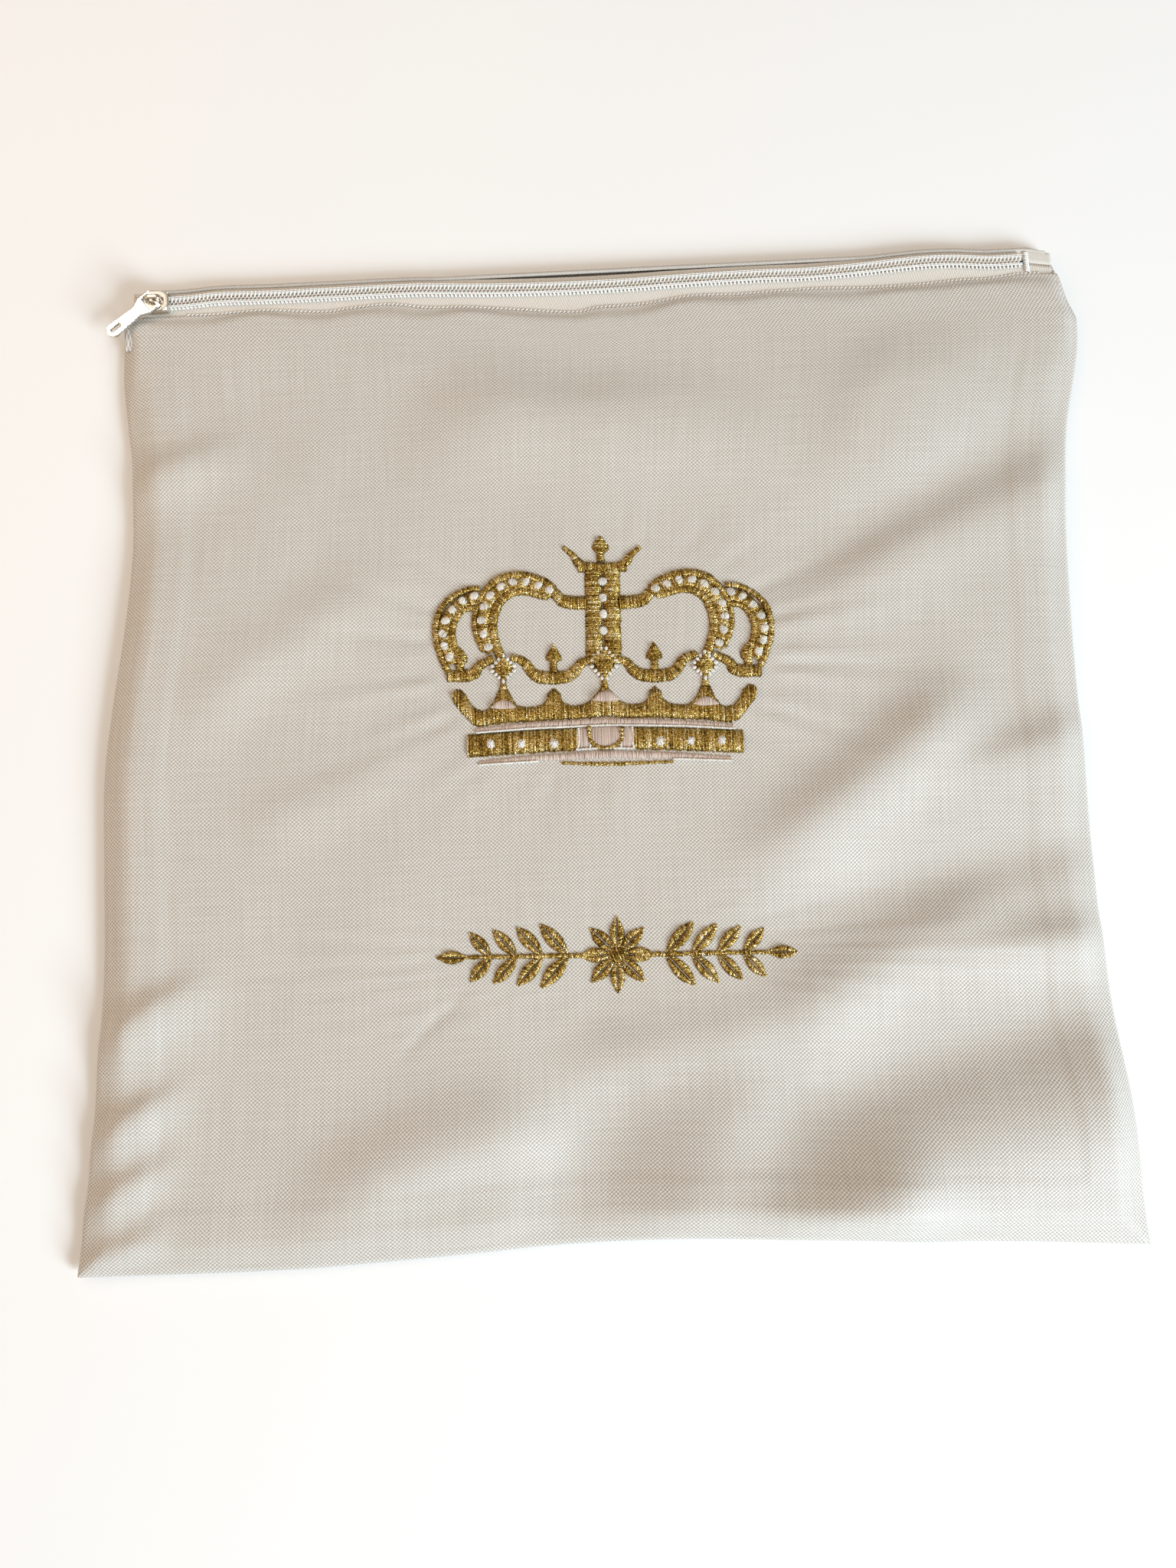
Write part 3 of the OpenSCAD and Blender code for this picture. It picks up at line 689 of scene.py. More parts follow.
def embroider(name, runs, middle, lift, material, thread=0.235, underlay=0.35):
    """Stitches in relief on the cloth, with a padded underlay below each run of them. A stitch
    arches over as 1 - |q|^3, where q runs from -1 to 1 between its ends."""
    q = np.linspace(-1, 1, 7)
    arch = 1 - np.abs(q) ** 3
    starts = np.concatenate([run[0] for run in runs]) + middle
    ends = np.concatenate([run[1] for run in runs]) + middle
    over = np.concatenate([np.full(len(run[0]), sum(run[2:])) for run in runs])[:, None]
    plan = between(starts, ends, q)
    ground = lie(plan[..., 0], plan[..., 1]) + CLOTH / 2 + over
    bob = rng.normal(0, 0.08, (len(starts), 1))
    z = ground - 0.12 + (lift + bob) * arch * fullness(starts, ends)
    paths = np.concatenate([plan, z[..., None]], -1)
    rings = tube_points(paths, thread * (1 - 0.35 * np.abs(q) ** 6) * np.ones((len(starts), 1)), 5, 0.8)
    count, long, around, _ = rings.shape
    points = [rings.reshape(-1, 3)]
    faces = sweep_faces(count, long, around)
    along = np.linalg.norm(ends - starts, axis=1)[:, None] * (q + 1) / 2
    wound = along[..., None] + rng.random((count, 1, 1))
    uv = [np.stack(np.broadcast_arrays(wound, np.arange(around) / around), -1).reshape(-1, 2)]
    shade = [np.repeat(0.35 + 0.6 * rng.random(count), long * around)]
    first = len(points[0])
    turn = 2 * np.pi * np.arange(10) / 10
    for begin, end, *above in runs:
        begin, end, above = begin + middle, end + middle, sum(above)
        pad = between(begin, end, 0.94 * np.cos(turn))
        top = (lift - 0.2) * (1 - np.abs(np.cos(turn)) ** 3) * fullness(begin, end)
        raised = np.where(np.sin(turn) > 0.1, top + above, -0.05)
        height = lie(pad[..., 0], pad[..., 1]) + CLOTH / 2 + raised
        points.append(np.concatenate([pad, height[..., None]], -1).reshape(-1, 3))
        faces += sweep_faces(1, len(pad), 10, first)
        uv.append(np.zeros((len(points[-1]), 2)))
        # The underlay's level in the shade attribute. For the gold it is low, so the underlay between the stitches is
        # painted dark: painted shade.
        shade.append(np.full(len(points[-1]), underlay))
        first += len(points[-1])
    piece = place_mesh(name, np.concatenate(points), faces, material, "pouch", np.concatenate(uv),
                       np.concatenate(shade))
    face_out(piece)
    return piece


def gold_material():
    """Gilt foil thread: a full metal, its colour from dark bronze, painted shade where the underlay shows between the
    stitches, to pale gold on top. Fine specks about 0.3 mm long are painted pale in its colour as painted glints, for
    the light that the foil's turns and wrinkles catch; a fine relief lies over them as well."""
    material, tree, shader = finish("gilt foil embroidery thread", Metallic=0.9, Roughness=0.34)
    tone_and_shade = add(tree, "Attribute", attribute_name="shade").outputs["Fac"]
    place = on_object(tree)
    # Pale specks in the colour are painted glints; the underlay's low shade level paints dark bronze between the
    # stitches, which is painted shade.
    painted_glints_and_shade = sums(tree, "MULTIPLY_ADD", noise(tree, place, 2100.0, 2.0, 0.7), 3.0, tone_and_shade)
    patchy = sums(tree, "MULTIPLY_ADD", noise(tree, place, 260.0, 1.0), 0.6, painted_glints_and_shade)
    level = spread(tree, patchy, From_Min=1.8, From_Max=3.05)
    paint(tree, shader, level, (0, "#40300E"), (0.25, "#84662A"), (0.5, "#B8923E"), (0.74, "#E0C678"),
          (1, "#FFFAE0"))
    tree.links.new(spread(tree, level, To_Min=0.5, To_Max=0.2), shader.inputs["Roughness"])
    relieve(tree, shader, noise(tree, place, 3000.0), 1.0, 0.00022)
    return material


# The crown in millimetres from its axis and its foot. Each band is (x, y, half width) on the left.
INNER_OUTLINE = [(-5.2, 49.5, 2.2), (-11.1, 49.9, 2.1), (-13.9, 52.0, 1.7), (-16.4, 55.5, 1.5), (-22.9, 58.2, 1.4),
                 (-29.4, 58.0, 1.4), (-34.5, 54.8, 1.2), (-37.4, 50.4, 1.0), (-38.5, 45.1, 0.9), (-37.9, 40.1, 0.9),
                 (-35.6, 35.0, 0.9)]
INNER_LINING = [(-16.4, 51.6, 1.1), (-19.6, 52.4, 1.2), (-22.9, 53.4, 1.3), (-27.3, 53.2, 1.4), (-31.0, 50.2, 1.5),
                (-32.9, 45.8, 1.6), (-33.2, 41.5, 1.6), (-32.3, 37.3, 1.6), (-30.6, 33.2, 1.6)]
INNER_FILL = [(-15.4, 52.6, 1.8), (-19.3, 54.4, 2.3), (-23.0, 55.7, 2.4), (-27.2, 55.7, 2.4), (-31.0, 54.0, 2.3),
              (-34.0, 51.2, 2.3), (-35.6, 47.2, 2.2), (-36.0, 43.0, 2.2), (-35.2, 39.0, 2.1), (-33.5, 34.8, 1.8)]
OUTER_OUTLINE = [(-37.0, 54.6, 0.9), (-40.6, 54.4, 1.0), (-44.6, 52.6, 1.0), (-48.2, 49.2, 1.0), (-50.0, 44.4, 1.0),
                 (-50.1, 39.4, 1.0), (-48.7, 34.4, 1.0), (-46.4, 29.2, 1.1)]
OUTER_LINING = [(-38.6, 48.6, 0.9), (-41.3, 48.4, 1.0), (-43.9, 46.0, 1.1), (-45.2, 42.3, 1.1), (-44.9, 38.0, 1.1),
                (-43.4, 34.4, 1.2), (-43.0, 30.4, 1.2)]
OUTER_FILL = [(-38.6, 51.6, 2.3), (-42.0, 50.4, 2.3), (-45.1, 47.8, 2.2), (-47.1, 44.2, 2.2), (-47.6, 40.4, 2.2),
              (-46.7, 36.6, 2.1), (-45.0, 31.6, 1.9)]
RIM_SIDE = [(-46.6, 28.0, 1.9), (-41.6, 28.0, 2.0), (-38.6, 28.6, 1.8), (-37.2, 31.0, 1.5), (-33.0, 33.0, 1.3)]
RIM_FRONT = [(-27.6, 33.2, 1.2), (-23.8, 31.8, 1.5), (-21.4, 28.5, 1.8), (-18.6, 27.0, 2.1), (-12.0, 27.0, 2.1),
             (-8.9, 28.5, 1.8), (-6.8, 31.0, 1.5), (-3.2, 32.6, 1.2)]
RIM_BUD = [(-15, 28.8, 1.2), (-15, 31.6, 1.2), (-15, 32.3, 2.5), (-15, 34.2, 2.0), (-15, 36.8, 0.3)]
END_BUD = [(-42.9, 29.6, 1.1), (-42.7, 31.8, 1.4), (-42.4, 33.2, 1.9), (-42.4, 34.8, 1.2), (-42.6, 36.2, 0.3)]
HORN = [(-5.4, 60.6, 1.5), (-7.4, 62.3, 1.4), (-8.7, 64.4, 1.0), (-11.6, 66.8, 0.6)]
BAND_TOP = [(0, 25.6), (1.0, 24.0), (2.6, 21.8), (4.6, 19.6), (7.0, 18.6), (9.6, 18.4), (11.6, 19.0), (12.9, 20.4),
            (13.1, 22.4), (15.0, 24.0), (16.9, 22.4), (17.1, 20.4), (18.6, 19.0), (21.0, 18.2), (23.6, 18.1),
            (25.8, 18.8), (27.2, 20.6), (28.4, 23.4), (30, 25.8), (31.6, 23.4), (32.8, 20.4), (34.4, 18.0),
            (36.2, 17.3), (38.2, 18.0), (39.8, 19.8), (41.2, 22.6), (42.8, 24.0), (44.4, 23.8), (45.1, 22.8)]
BAND_FOOT = [(0, 14.4), (25, 13.4), (37.5, 12.2), (39.4, 13.0), (42.6, 16.6), (44.6, 19.4), (45.1, 21.2)]
STRIPE_TOP, STRIPE_FOOT = [(0, 14.3), (22, 13.4), (38, 11.9)], [(0, 12.2), (22, 11.6), (38, 10.6)]
LOW_TOP, LOW_FOOT = [(0, 4.5), (20, 3.7), (37, 2.2)], [(0, 2.3), (20, 1.8), (37, 1.0)]
JEWEL_TOP, JEWEL_FOOT = [(0, 12.0), (22, 11.4), (41, 10.3)], [(0, 4.9), (20, 4.1), (41, 3.0)]


def lozenge(x, y, half_w, half_h):
    """A diamond of level stitches, widest in its middle."""
    return satin([(x, y - half_h, 0.3), (x, y, half_w), (x, y + half_h, 0.3)])


def crown_runs():
    """Every run of gold stitches in the crown, in the order that they are sewn."""
    bands = [INNER_FILL, INNER_OUTLINE, INNER_LINING, OUTER_FILL, OUTER_OUTLINE, OUTER_LINING, RIM_SIDE, RIM_FRONT,
             RIM_BUD, END_BUD, HORN]
    runs = mirrored([satin(band) for band in bands])
    runs += [satin([(x, 31.0, 2.75), (x, 45.0, 2.75), (x, 59.4, 2.75)]) for x in (-2.7, 2.7)]
    runs += [upright(-7.1, 7.2, [(0, 59.0), (7.1, 59.0)], [(0, 62.2), (5, 62.4), (7.1, 63.2)])]
    runs += [satin([(-0.4, 62.4, 1.2), (-0.4, 65.0, 1.3), (-0.4, 66.2, 2.7), (-0.4, 68.0, 2.2), (-0.4, 70.2, 0.4)])]
    runs += [upright(-45.0, 45.1, BAND_FOOT, BAND_TOP)]
    runs += mirrored([upright(8.6, 40.6, JEWEL_FOOT, JEWEL_TOP)])
    gems = [lozenge(x, y, 3.3, h) for x, y, h in ((-30, 29.8, 3.6), (0, 30.6, 4.8), (30, 29.8, 3.6))]
    runs += on_top(gems, 0.25)
    runs += [satin([(x, 23.6, 1.3), (x, 25.2, 0.9), (x, 27.4, 0.8)]) for x in (-30, 0, 30)]
    runs += [satin([(-13, 1.1, 0.35), (0, 0.5, 0.6), (20, 1.0, 0.35)])]
    runs += on_top([satin([(-4.8, 11.6, 0.75), (-4.6, 7.8, 0.75), (-2.6, 5.7, 0.65), (0, 5.3, 0.5),
                           (2.6, 5.7, 0.65), (4.6, 7.8, 0.75), (4.8, 11.6, 0.75)])], 0.55)
    return runs


gold_thread = gold_material()
# underlay=0.2 paints the gold underlay that shows between the stitches dark bronze: painted shade.
crown = embroider("crown_gold_stitches", crown_runs(), CROWN, 0.95, gold_thread, underlay=0.2)
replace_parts(crown, "crown_gold_thread")

# ------------------------------------------------------------
# Pale and white embroidery. Rayon thread in a pinkish cream for the crown's stripes and domes,
# and in white for its pearls, star jewels and the fine lines along the stripes.
# ------------------------------------------------------------
pale_rayon = thread_material("cream rayon embroidery thread", "#BFA696", "#EBD8CB", 0.42, Sheen_Weight=0.2)
white_rayon = thread_material("white rayon embroidery thread", "#C6BFB2", "#FAF6EE", 0.40, Sheen_Weight=0.2)


def dome(x, y, half_w, tall):
    """A half lens of upright stitches: its top is a parabola, its foot a shallow one."""
    shares = np.linspace(-1, 1, 9)
    top = [(x + half_w * k, y + tall * (1 - k * k)) for k in shares]
    foot = [(x + half_w * k, y - 0.7 * (1 - k * k)) for k in shares]
    at = np.arange(x - half_w + 0.1, x + half_w, STITCH_GAP)
    return tuple(np.stack([at, np.interp(at, *np.array(line).T)], 1) for line in (top, foot))


pale_runs = [upright(-37.8, 37.9, STRIPE_FOOT, STRIPE_TOP, 0.38), upright(-36.8, 37.2, LOW_FOOT, LOW_TOP, 0.38),
             upright(-8.2, 8.3, [(0, 4.8), (9, 4.8)], [(0, 12.0), (9, 11.9)], 0.38)]
pale_runs += on_top([dome(0.3, 19.6, 3.9, 3.0), dome(-30, 17.9, 3.7, 2.5), dome(30, 17.9, 3.7, 2.5)], 0.75)
pale = embroider("crown_pale_stitches", pale_runs, CROWN, 0.85, pale_rayon, 0.21, 0.5)
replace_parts(pale, "crown_pale_thread")

ARCH_PEARLS = [(-15.9, 53.6), (-19.3, 54.9), (-23.0, 56.1), (-26.9, 56.2), (-30.5, 54.9), (-33.7, 52.3), (-35.6, 48.8),
               (-36.4, 44.7), (-35.8, 40.5), (-34.4, 36.5), (-38.6, 52.2), (-41.9, 50.8), (-45.0, 48.2), (-47.2, 44.7),
               (-48.0, 40.8), (-47.5, 37.1), (-46.0, 33.6)]


def pearl(x, y, turn, radius=1.36):
    """A padded round dot: parallel stitches whose ends follow a circle, turned on the cloth."""
    at = np.linspace(-0.82, 0.82, 6) * radius
    half = np.sqrt(radius ** 2 - at ** 2)
    cos, sin = np.cos(turn), np.sin(turn)
    ends = [np.stack([x + at * cos - way * half * sin, y + at * sin + way * half * cos], 1) for way in (1, -1)]
    return ends[0], ends[1]


def star(x, y, radius=1.75, rays=6):
    """A star jewel: stitches that all cross at its middle."""
    turn = np.pi * np.arange(rays) / rays + rng.normal(0, 0.1, rays)
    arm = radius * rng.uniform(0.8, 1.1, (rays, 1)) * np.stack([np.cos(turn), np.sin(turn)], 1)
    return np.array([x, y]) + arm, np.array([x, y]) - arm


def fine_line(points):
    """A narrow band of stitches, about half a millimetre wide."""
    return satin([(x, y, 0.28) for x, y in points], 0.5, 0.04)


def beads(x, y, half_w, half_h, count=14):
    """Small bright stitches set round a lozenge."""
    turn = 2 * np.pi * (np.arange(count) + 0.5) / count
    reach = 1 / (np.abs(np.cos(turn)) + np.abs(np.sin(turn)))
    return [pearl(x + half_w * r * np.cos(t), y + half_h * r * np.sin(t), t, 0.5) for r, t in zip(reach, turn)]


pearl_runs = mirrored([pearl(x, y, rng.uniform(0, np.pi)) for x, y in ARCH_PEARLS])
pearl_runs += [pearl(0, y, rng.uniform(0, np.pi), 1.35) for y in (56.0, 50.9, 45.8, 40.8)]
pearl_runs += [star(x, 7.0) for x in (-33.8, -24.8, -15.3, 16.0, 25.0, 34.2)]
pearl_runs += beads(-30, 29.8, 3.9, 4.0) + beads(0, 30.8, 4.3, 5.4, 16) + beads(30, 29.8, 3.9, 4.0)
for way in (-1, 1):
    pearl_runs.append(fine_line([(way * x, y - 0.1) for x, y in STRIPE_FOOT]))
    pearl_runs.append(fine_line([(way * x, y - 0.1) for x, y in LOW_FOOT[1:]]))
    pearl_runs.append(fine_line([(way * 8.4, 4.8), (way * 7.6, 8.0), (way * 8.0, 11.4)]))
    pearl_runs.append(fine_line([(way * 4.6, 5.2), (way * 4.3, 8.0), (way * 4.8, 11.4)]))
pearl_runs.append(fine_line([(-8.6, 4.9), (0, 5.2), (8.6, 4.9)]))
pearls = embroider("crown_pearl_stitches", on_top(pearl_runs, 0.68), CROWN, 0.62, white_rayon,
                   0.2, 0.75)
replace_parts(pearls, "crown_pearl_thread")


# ------------------------------------------------------------
# Leafy spray. The same gold thread: a rosette between two stems with paired leaves, each leaf
# in two halves whose stitches slant out from its vein.
# ------------------------------------------------------------
def leaf(foot, turn, long, wide, lean=0.55):
    """A leaf in two halves. At share k of its vein it is wide * sin(pi k^0.8) across, and each
    stitch starts on the vein and ends further on at the edge by lean times that width."""
    k = np.arange(0.03, 0.97, STITCH_GAP / long)
    half = wide / 2 * np.sin(np.pi * k ** 0.8)
    ahead = np.array([np.cos(turn), np.sin(turn)])
    side = np.array([-ahead[1], ahead[0]])
    vein = np.asarray(foot) + (k * long)[:, None] * ahead
    halves = []
    for way in (1, -1):
        edge = vein + half[:, None] * (way * side + lean * ahead) + rng.normal(0, 0.06, (len(k), 2))
        halves.append((vein + way * 0.1 * side, edge))
    return halves


def spray_runs():
    """Both stems with their leaves, then the rosette of eight petals and its round middle."""
    runs = []
    for way in (-1, 1):
        runs.append(satin([(way * 5.5, 0, 0.75), (way * 26, 0, 0.7), (way * 44, 0, 0.55)]))
        heading = 0 if way > 0 else np.pi
        runs += leaf((way * 43, 0), heading, 9, 3.8)
        for i in range(4):
            foot = (way * (14 + i * 7.4), 0)
            for up in (-1, 1):
                runs += leaf(foot, heading + way * up * np.radians(48), 12.5 - i, 4.6 - i / 4)
    for turn in np.radians(np.arange(0, 360, 45)):
        runs += leaf(1.6 * np.array([np.cos(turn), np.sin(turn)]), turn, 9.4, 4.4, 0.3)
    runs.append(pearl(0, 0, 0.4, 2.6))
    return runs


# underlay=0.2 paints the gold underlay that shows between the stitches dark bronze: painted shade.
spray = embroider("spray_gold_stitches", spray_runs(), SPRAY, 0.9, gold_thread, underlay=0.2)
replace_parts(spray, "spray_gold_thread")


# ------------------------------------------------------------
# Backings and bobbin thread, inside the pouch. A piece of cut-away non-woven felt lies under
# each embroidery, and the bobbin thread shows the stitched outline on its far side.
# ------------------------------------------------------------
def felt_material():
    """Non-woven felt: matt white fibres pressed at random, seen as a fine mottle 0.5 mm across."""
    material, tree, shader = finish("non-woven cut-away backing", Roughness=0.95)
    fibres = noise(tree, on_object(tree), 1400.0, 4.0)
    paint(tree, shader, fibres, (0, "#D6D4CE"), (1, "#FAF9F6"))
    relieve(tree, shader, fibres, 0.5, 0.00008)
    return material


felt = felt_material()
BACKING_T = 0.3


def backing(name, node):
    """A rectangle of felt that follows the underside of the front panel."""
    lower, upper = low(node), high(node)
    x, y = np.meshgrid(np.linspace(lower[0], upper[0], 90), np.linspace(lower[1], upper[1], 60))
    z = lie(x, y) - CLOTH / 2 - BACKING_T / 2 - 0.06
    points = np.stack([x, y, z], -1).reshape(-1, 3)
    piece = place_mesh(name, points, grid_faces(*x.shape), felt, "pouch")
    thicken(piece, BACKING_T)
    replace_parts(piece, node)


def bobbin(name, runs, middle, node):
    """The bobbin side of the stitches: a low pad in the same outline, under the felt."""
    rows, count, faces = [], 0, []
    turn = 2 * np.pi * np.arange(6) / 6
    for begin, end, *_ in runs:
        pad = between(begin + middle, end + middle, 0.9 * np.cos(turn))
        z = lie(pad[..., 0], pad[..., 1]) - CLOTH / 2 - BACKING_T - 0.24 + 0.12 * np.sin(turn)
        rows.append(np.concatenate([pad, z[..., None]], -1).reshape(-1, 3))
        faces += sweep_faces(1, len(begin), 6, count)
        count += len(rows[-1])
    points = np.concatenate(rows)
    piece = place_mesh(name, points, faces, bobbin_thread, "pouch", points[:, :2],
                       np.full(count, 0.7))
    face_out(piece)
    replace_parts(piece, node)


bobbin_thread = thread_material("polyester bobbin thread", "#CFCBC2", "#F8F6F0", 0.55)
backing("crown_felt", "crown_backing")
backing("spray_felt", "spray_backing")
bobbin("crown_bobbin_stitches", crown_runs(), CROWN, "crown_bobbin_thread")
bobbin("spray_bobbin_stitches", spray_runs(), SPRAY, "spray_bobbin_thread")


# ------------------------------------------------------------
# Zipper tapes. White polyester twill 12 mm wide and 0.6 mm thick. The front one lies flat from
# the coil to under the panel, and the back one turns under behind the slider's path.
# ------------------------------------------------------------
def tape_material():
    """Woven tape: fine ribs across its length, 0.55 mm apart, which shade its matt white."""
    material, tree, shader = finish("white polyester zipper tape", Roughness=0.62, Sheen_Weight=0.15)
    place = add(tree, "SeparateXYZ", {0: on_cloth(tree)}).outputs
    slant = sums(tree, "MULTIPLY_ADD", place["Y"], 0.35, place["X"])
    rib = sums(tree, "SINE", sums(tree, "MULTIPLY", slant, 2 * np.pi / 0.55))
    paint(tree, shader, spread(tree, rib, From_Min=-1.0), (0, "#CFC6B9"), (1, "#F3EFE8"))
    relieve(tree, shader, rib, 0.5, 0.00008)
    return material


tape_weave = tape_material()
TAPE_LEFT, TAPE_RIGHT = -145.0, 143.0
tape_a = np.linspace(TAPE_LEFT, TAPE_RIGHT, 360)


def tape(name, section, node):
    """A tape along the zipper: a section of (across, up) points carried along the chain's line.
    Beyond the coils its inner edge closes in on the other tape's."""
    c, z = (np.array(values)[None, :] for values in zip(*section))
    past = np.maximum(1 - ramp(tape_a, COIL_LEFT - 2, COIL_LEFT), ramp(tape_a, COIL_RIGHT, COIL_RIGHT + 2))
    c = c - np.sign(c) * 0.62 * past[:, None] * np.exp(-(np.abs(c) - 0.7)) * (z > TAPE_Z)
    c = c + follow(CHAIN_WANDER, tape_a)[:, None]
    x, y = from_zip(tape_a[:, None], c)
    far = np.concatenate([[0], np.cumsum(np.hypot(*np.diff(np.array(section), axis=0).T))])
    uv = np.stack(np.broadcast_arrays(tape_a[:, None], far[None]), -1)
    points = np.stack([x, y, z + 0 * x], -1)
    piece = place_mesh(name, points.reshape(-1, 3), grid_faces(*x.shape), tape_weave, "pouch",
                       uv.reshape(-1, 2))
    thicken(piece, 0.5)
    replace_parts(piece, node)


tape_mid = TAPE_Z + 0.3
flat_front = [(c, tape_mid) for c in (-0.7, -1.5, -2.4, -3.4, -4.4, -5.4, -6.4, -7.4, -8.8, -10.6, -12.7)]
tape("front_tape_band", flat_front, "front_tape")
bend = [(3.4 + 1.15 * np.sin(w), tape_mid - 1.15 * (1 - np.cos(w))) for w in np.linspace(0, np.pi, 9)]
flat_back = [(0.7, tape_mid), (1.6, tape_mid), (2.6, tape_mid)] + bend + [(1.2, bend[-1][1]), (-1.2, bend[-1][1])]
tape("back_tape_band", flat_back, "back_tape")

# ------------------------------------------------------------
# Coils. Each is one nylon monofilament 0.56 mm thick, wound round a cord at 1.23 mm a turn. Its
# heads cross the middle and lock between the other coil's. Chain stitches tie it to its tape.
# ------------------------------------------------------------
COIL_PITCH = 1.23
WIRE = 0.29


def nylon_material():
    """White nylon: a little light passes in, and a smooth gloss lies on each turn."""
    material, tree, shader = finish("white nylon monofilament", Roughness=0.3, Subsurface_Weight=0.15,
                                    Subsurface_Scale=0.0006)
    paint(tree, shader, noise(tree, on_object(tree), 500.0), (0, "#E4DED4"), (1, "#FBF9F5"))
    return material


def chain_line(a, c, z):
    """Points at a along and c across the wandering chain."""
    x, y = from_zip(a, c + follow(CHAIN_WANDER, a))
    return np.stack([x, y, z + 0 * a], -1)


nylon = nylon_material()
cord_thread = thread_material("spun polyester filler cord", "#CFCBC4", "#F5F3EE", 0.75, 0.8)
tie_thread = thread_material("polyester chain stitching", "#B5AFA5", "#FBF9F5", 0.5, 1.6)


def coil(name, side, start):
    """A flattened helix: at turn w it is 1.1 cos w across and 0.46 sin w up from its middle."""
    turns = (COIL_RIGHT - COIL_LEFT - COIL_PITCH) / COIL_PITCH
    w = np.linspace(0, 2 * np.pi * turns, int(turns * 12))
    a = COIL_LEFT + COIL_PITCH / 2 * (start + w / np.pi)
    c = side * (1.02 - 1.12 * np.cos(w))
    z = (COIL_Z + COIL_TOP) / 2 - 0.02 + 0.45 * np.sin(w)
    piece = tubes(name, chain_line(a, c, z)[None], WIRE, nylon)
    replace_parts(piece, name.replace("_loops", ""))


def straight(name, node, offsets, z, radius, material, wave=0.0):
    """Threads laid along the chain, each with a rise and fall once a turn of the coil."""
    a = np.arange(COIL_LEFT + 0.4, COIL_RIGHT - 0.4, COIL_PITCH / 4)
    paths = np.stack([chain_line(a, c, z + wave * np.sin(2 * np.pi * a / COIL_PITCH)) for c in offsets])
    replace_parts(tubes(name, paths, radius, material, 5), node)


for label, side, start in (("front", -1, 0.0), ("back", 1, 1.0)):
    coil(label + "_coil_loops", side, start)
    straight(label + "_filler_cord", label + "_coil_cord", [side * 1.1], (COIL_Z + COIL_TOP) / 2, 0.34, cord_thread)
    straight(label + "_chain_stitches", label + "_coil_stitching", [side * 1.15, side * 1.6], COIL_TOP - 0.02, 0.15,
             tie_thread, 0.10)


# ------------------------------------------------------------
# Tape threads and end tacks. The front fold is tied to its tape by slanting stitches that show
# as a row of white bumps along it, the back tape by lockstitch, and the ends by bar tacks.
# ------------------------------------------------------------
def slanting_bumps():
    """One stitch every 1.3 mm along the front fold, slanted 50 degrees and arched over the tape."""
    a = np.arange(-128, 139, 1.3)
    q = np.linspace(-1, 1, 5)
    line = follow(FOLD_LINE, a) + 0.75
    aa = a[:, None] + 0.42 * q
    c = line[:, None] + 0.50 * q + follow(CHAIN_WANDER, a)[:, None]
    x, y = from_zip(aa, c)
    z = TAPE_Z + 0.56 + 0.28 * (1 - q ** 2) + 0 * aa
    return np.stack([x, y, z], -1)


fold_thread = tubes("front_fold_stitches", slanting_bumps(), 0.24, tie_thread)
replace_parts(fold_thread, "front_tape_thread")
back_a = np.linspace(TAPE_LEFT + 3, TAPE_RIGHT - 3, 200)
back_line = chain_line(back_a, 0.6, 1.9)
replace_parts(tubes("back_tape_stitches", lockstitch(back_line), 0.17, seam_polyester),
            "back_tape_thread")


def tack(name, node, middle):
    """A bar tack: eleven stitches along the zipper, side by side across both tapes."""
    c = np.linspace(-3.0, 3.0, 11)
    q = np.linspace(-1, 1, 5)
    a = middle + 0.75 * q[None] + rng.normal(0, 0.08, (11, 1))
    x, y = from_zip(a, c[:, None] + follow(CHAIN_WANDER, a))
    paths = np.stack([x, y, COIL_Z + 0.15 + 0.35 * (1 - q ** 2)[None] + 0 * a], -1)
    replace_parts(tubes(name, paths, 0.26, tie_thread), node)


tack("left_bar_tack", "left_end_tack", to_zip(*(low("left_end_tack") + high("left_end_tack"))[:2] / 2)[0])
tack("right_bar_tack", "right_end_tack", to_zip(*(low("right_end_tack") + high("right_end_tack"))[:2] / 2)[0])

# ------------------------------------------------------------
# Slider. Zinc, pressure die cast and nickel plated: two plates joined by a wedge at the nose, a
# lip down each side of the front plate, and a bridge for the tab. Every edge is softly rounded.
# ------------------------------------------------------------
PLATE = 0.8
SLIDER_LOW, SLIDER_HIGH = low("slider_body")[2], high("slider_body")[2]
FRONT_PLATE = pivot[2] - 0.9 - PLATE


def pillow(half_l, half_w, power, profile, sides=56):
    """A plate as rings: its outline is |x/l|^n + |y/w|^n = 1, scaled and lifted by the profile."""
    turn = 2 * np.pi * np.arange(sides) / sides
    x = half_l * np.sign(np.cos(turn)) * np.abs(np.cos(turn)) ** (2 / power)
    y = half_w * np.sign(np.sin(turn)) * np.abs(np.sin(turn)) ** (2 / power)
    y = y * (1 - 0.05 * x / half_l)
    return np.stack([np.stack([k * x, k * y, z + 0 * x], -1) for k, z in profile])[None]


def bar(path, half_w, half_h, sides=12, power=3.4):
    """A bar of rounded section carried along a path in the slider's own frame."""
    path = np.asarray(path, float)
    ahead = np.gradient(path, axis=0)
    ahead /= np.linalg.norm(ahead, axis=1, keepdims=True)
    sideways = np.array([0.0, 1.0, 0.0]) + 0 * ahead
    if np.abs(ahead[:, 1]).max() > 0.5:
        sideways = np.array([1.0, 0.0, 0.0]) + 0 * ahead
    upwards = np.cross(ahead, sideways)
    turn = 2 * np.pi * (np.arange(sides) + 0.5) / sides
    wide = half_w * np.sign(np.cos(turn)) * np.abs(np.cos(turn)) ** (2 / power)
    tall = half_h * np.sign(np.sin(turn)) * np.abs(np.sin(turn)) ** (2 / power)
    return (path[:, None] + wide[:, None] * sideways[:, None] + tall[:, None] * upwards[:, None])[None]


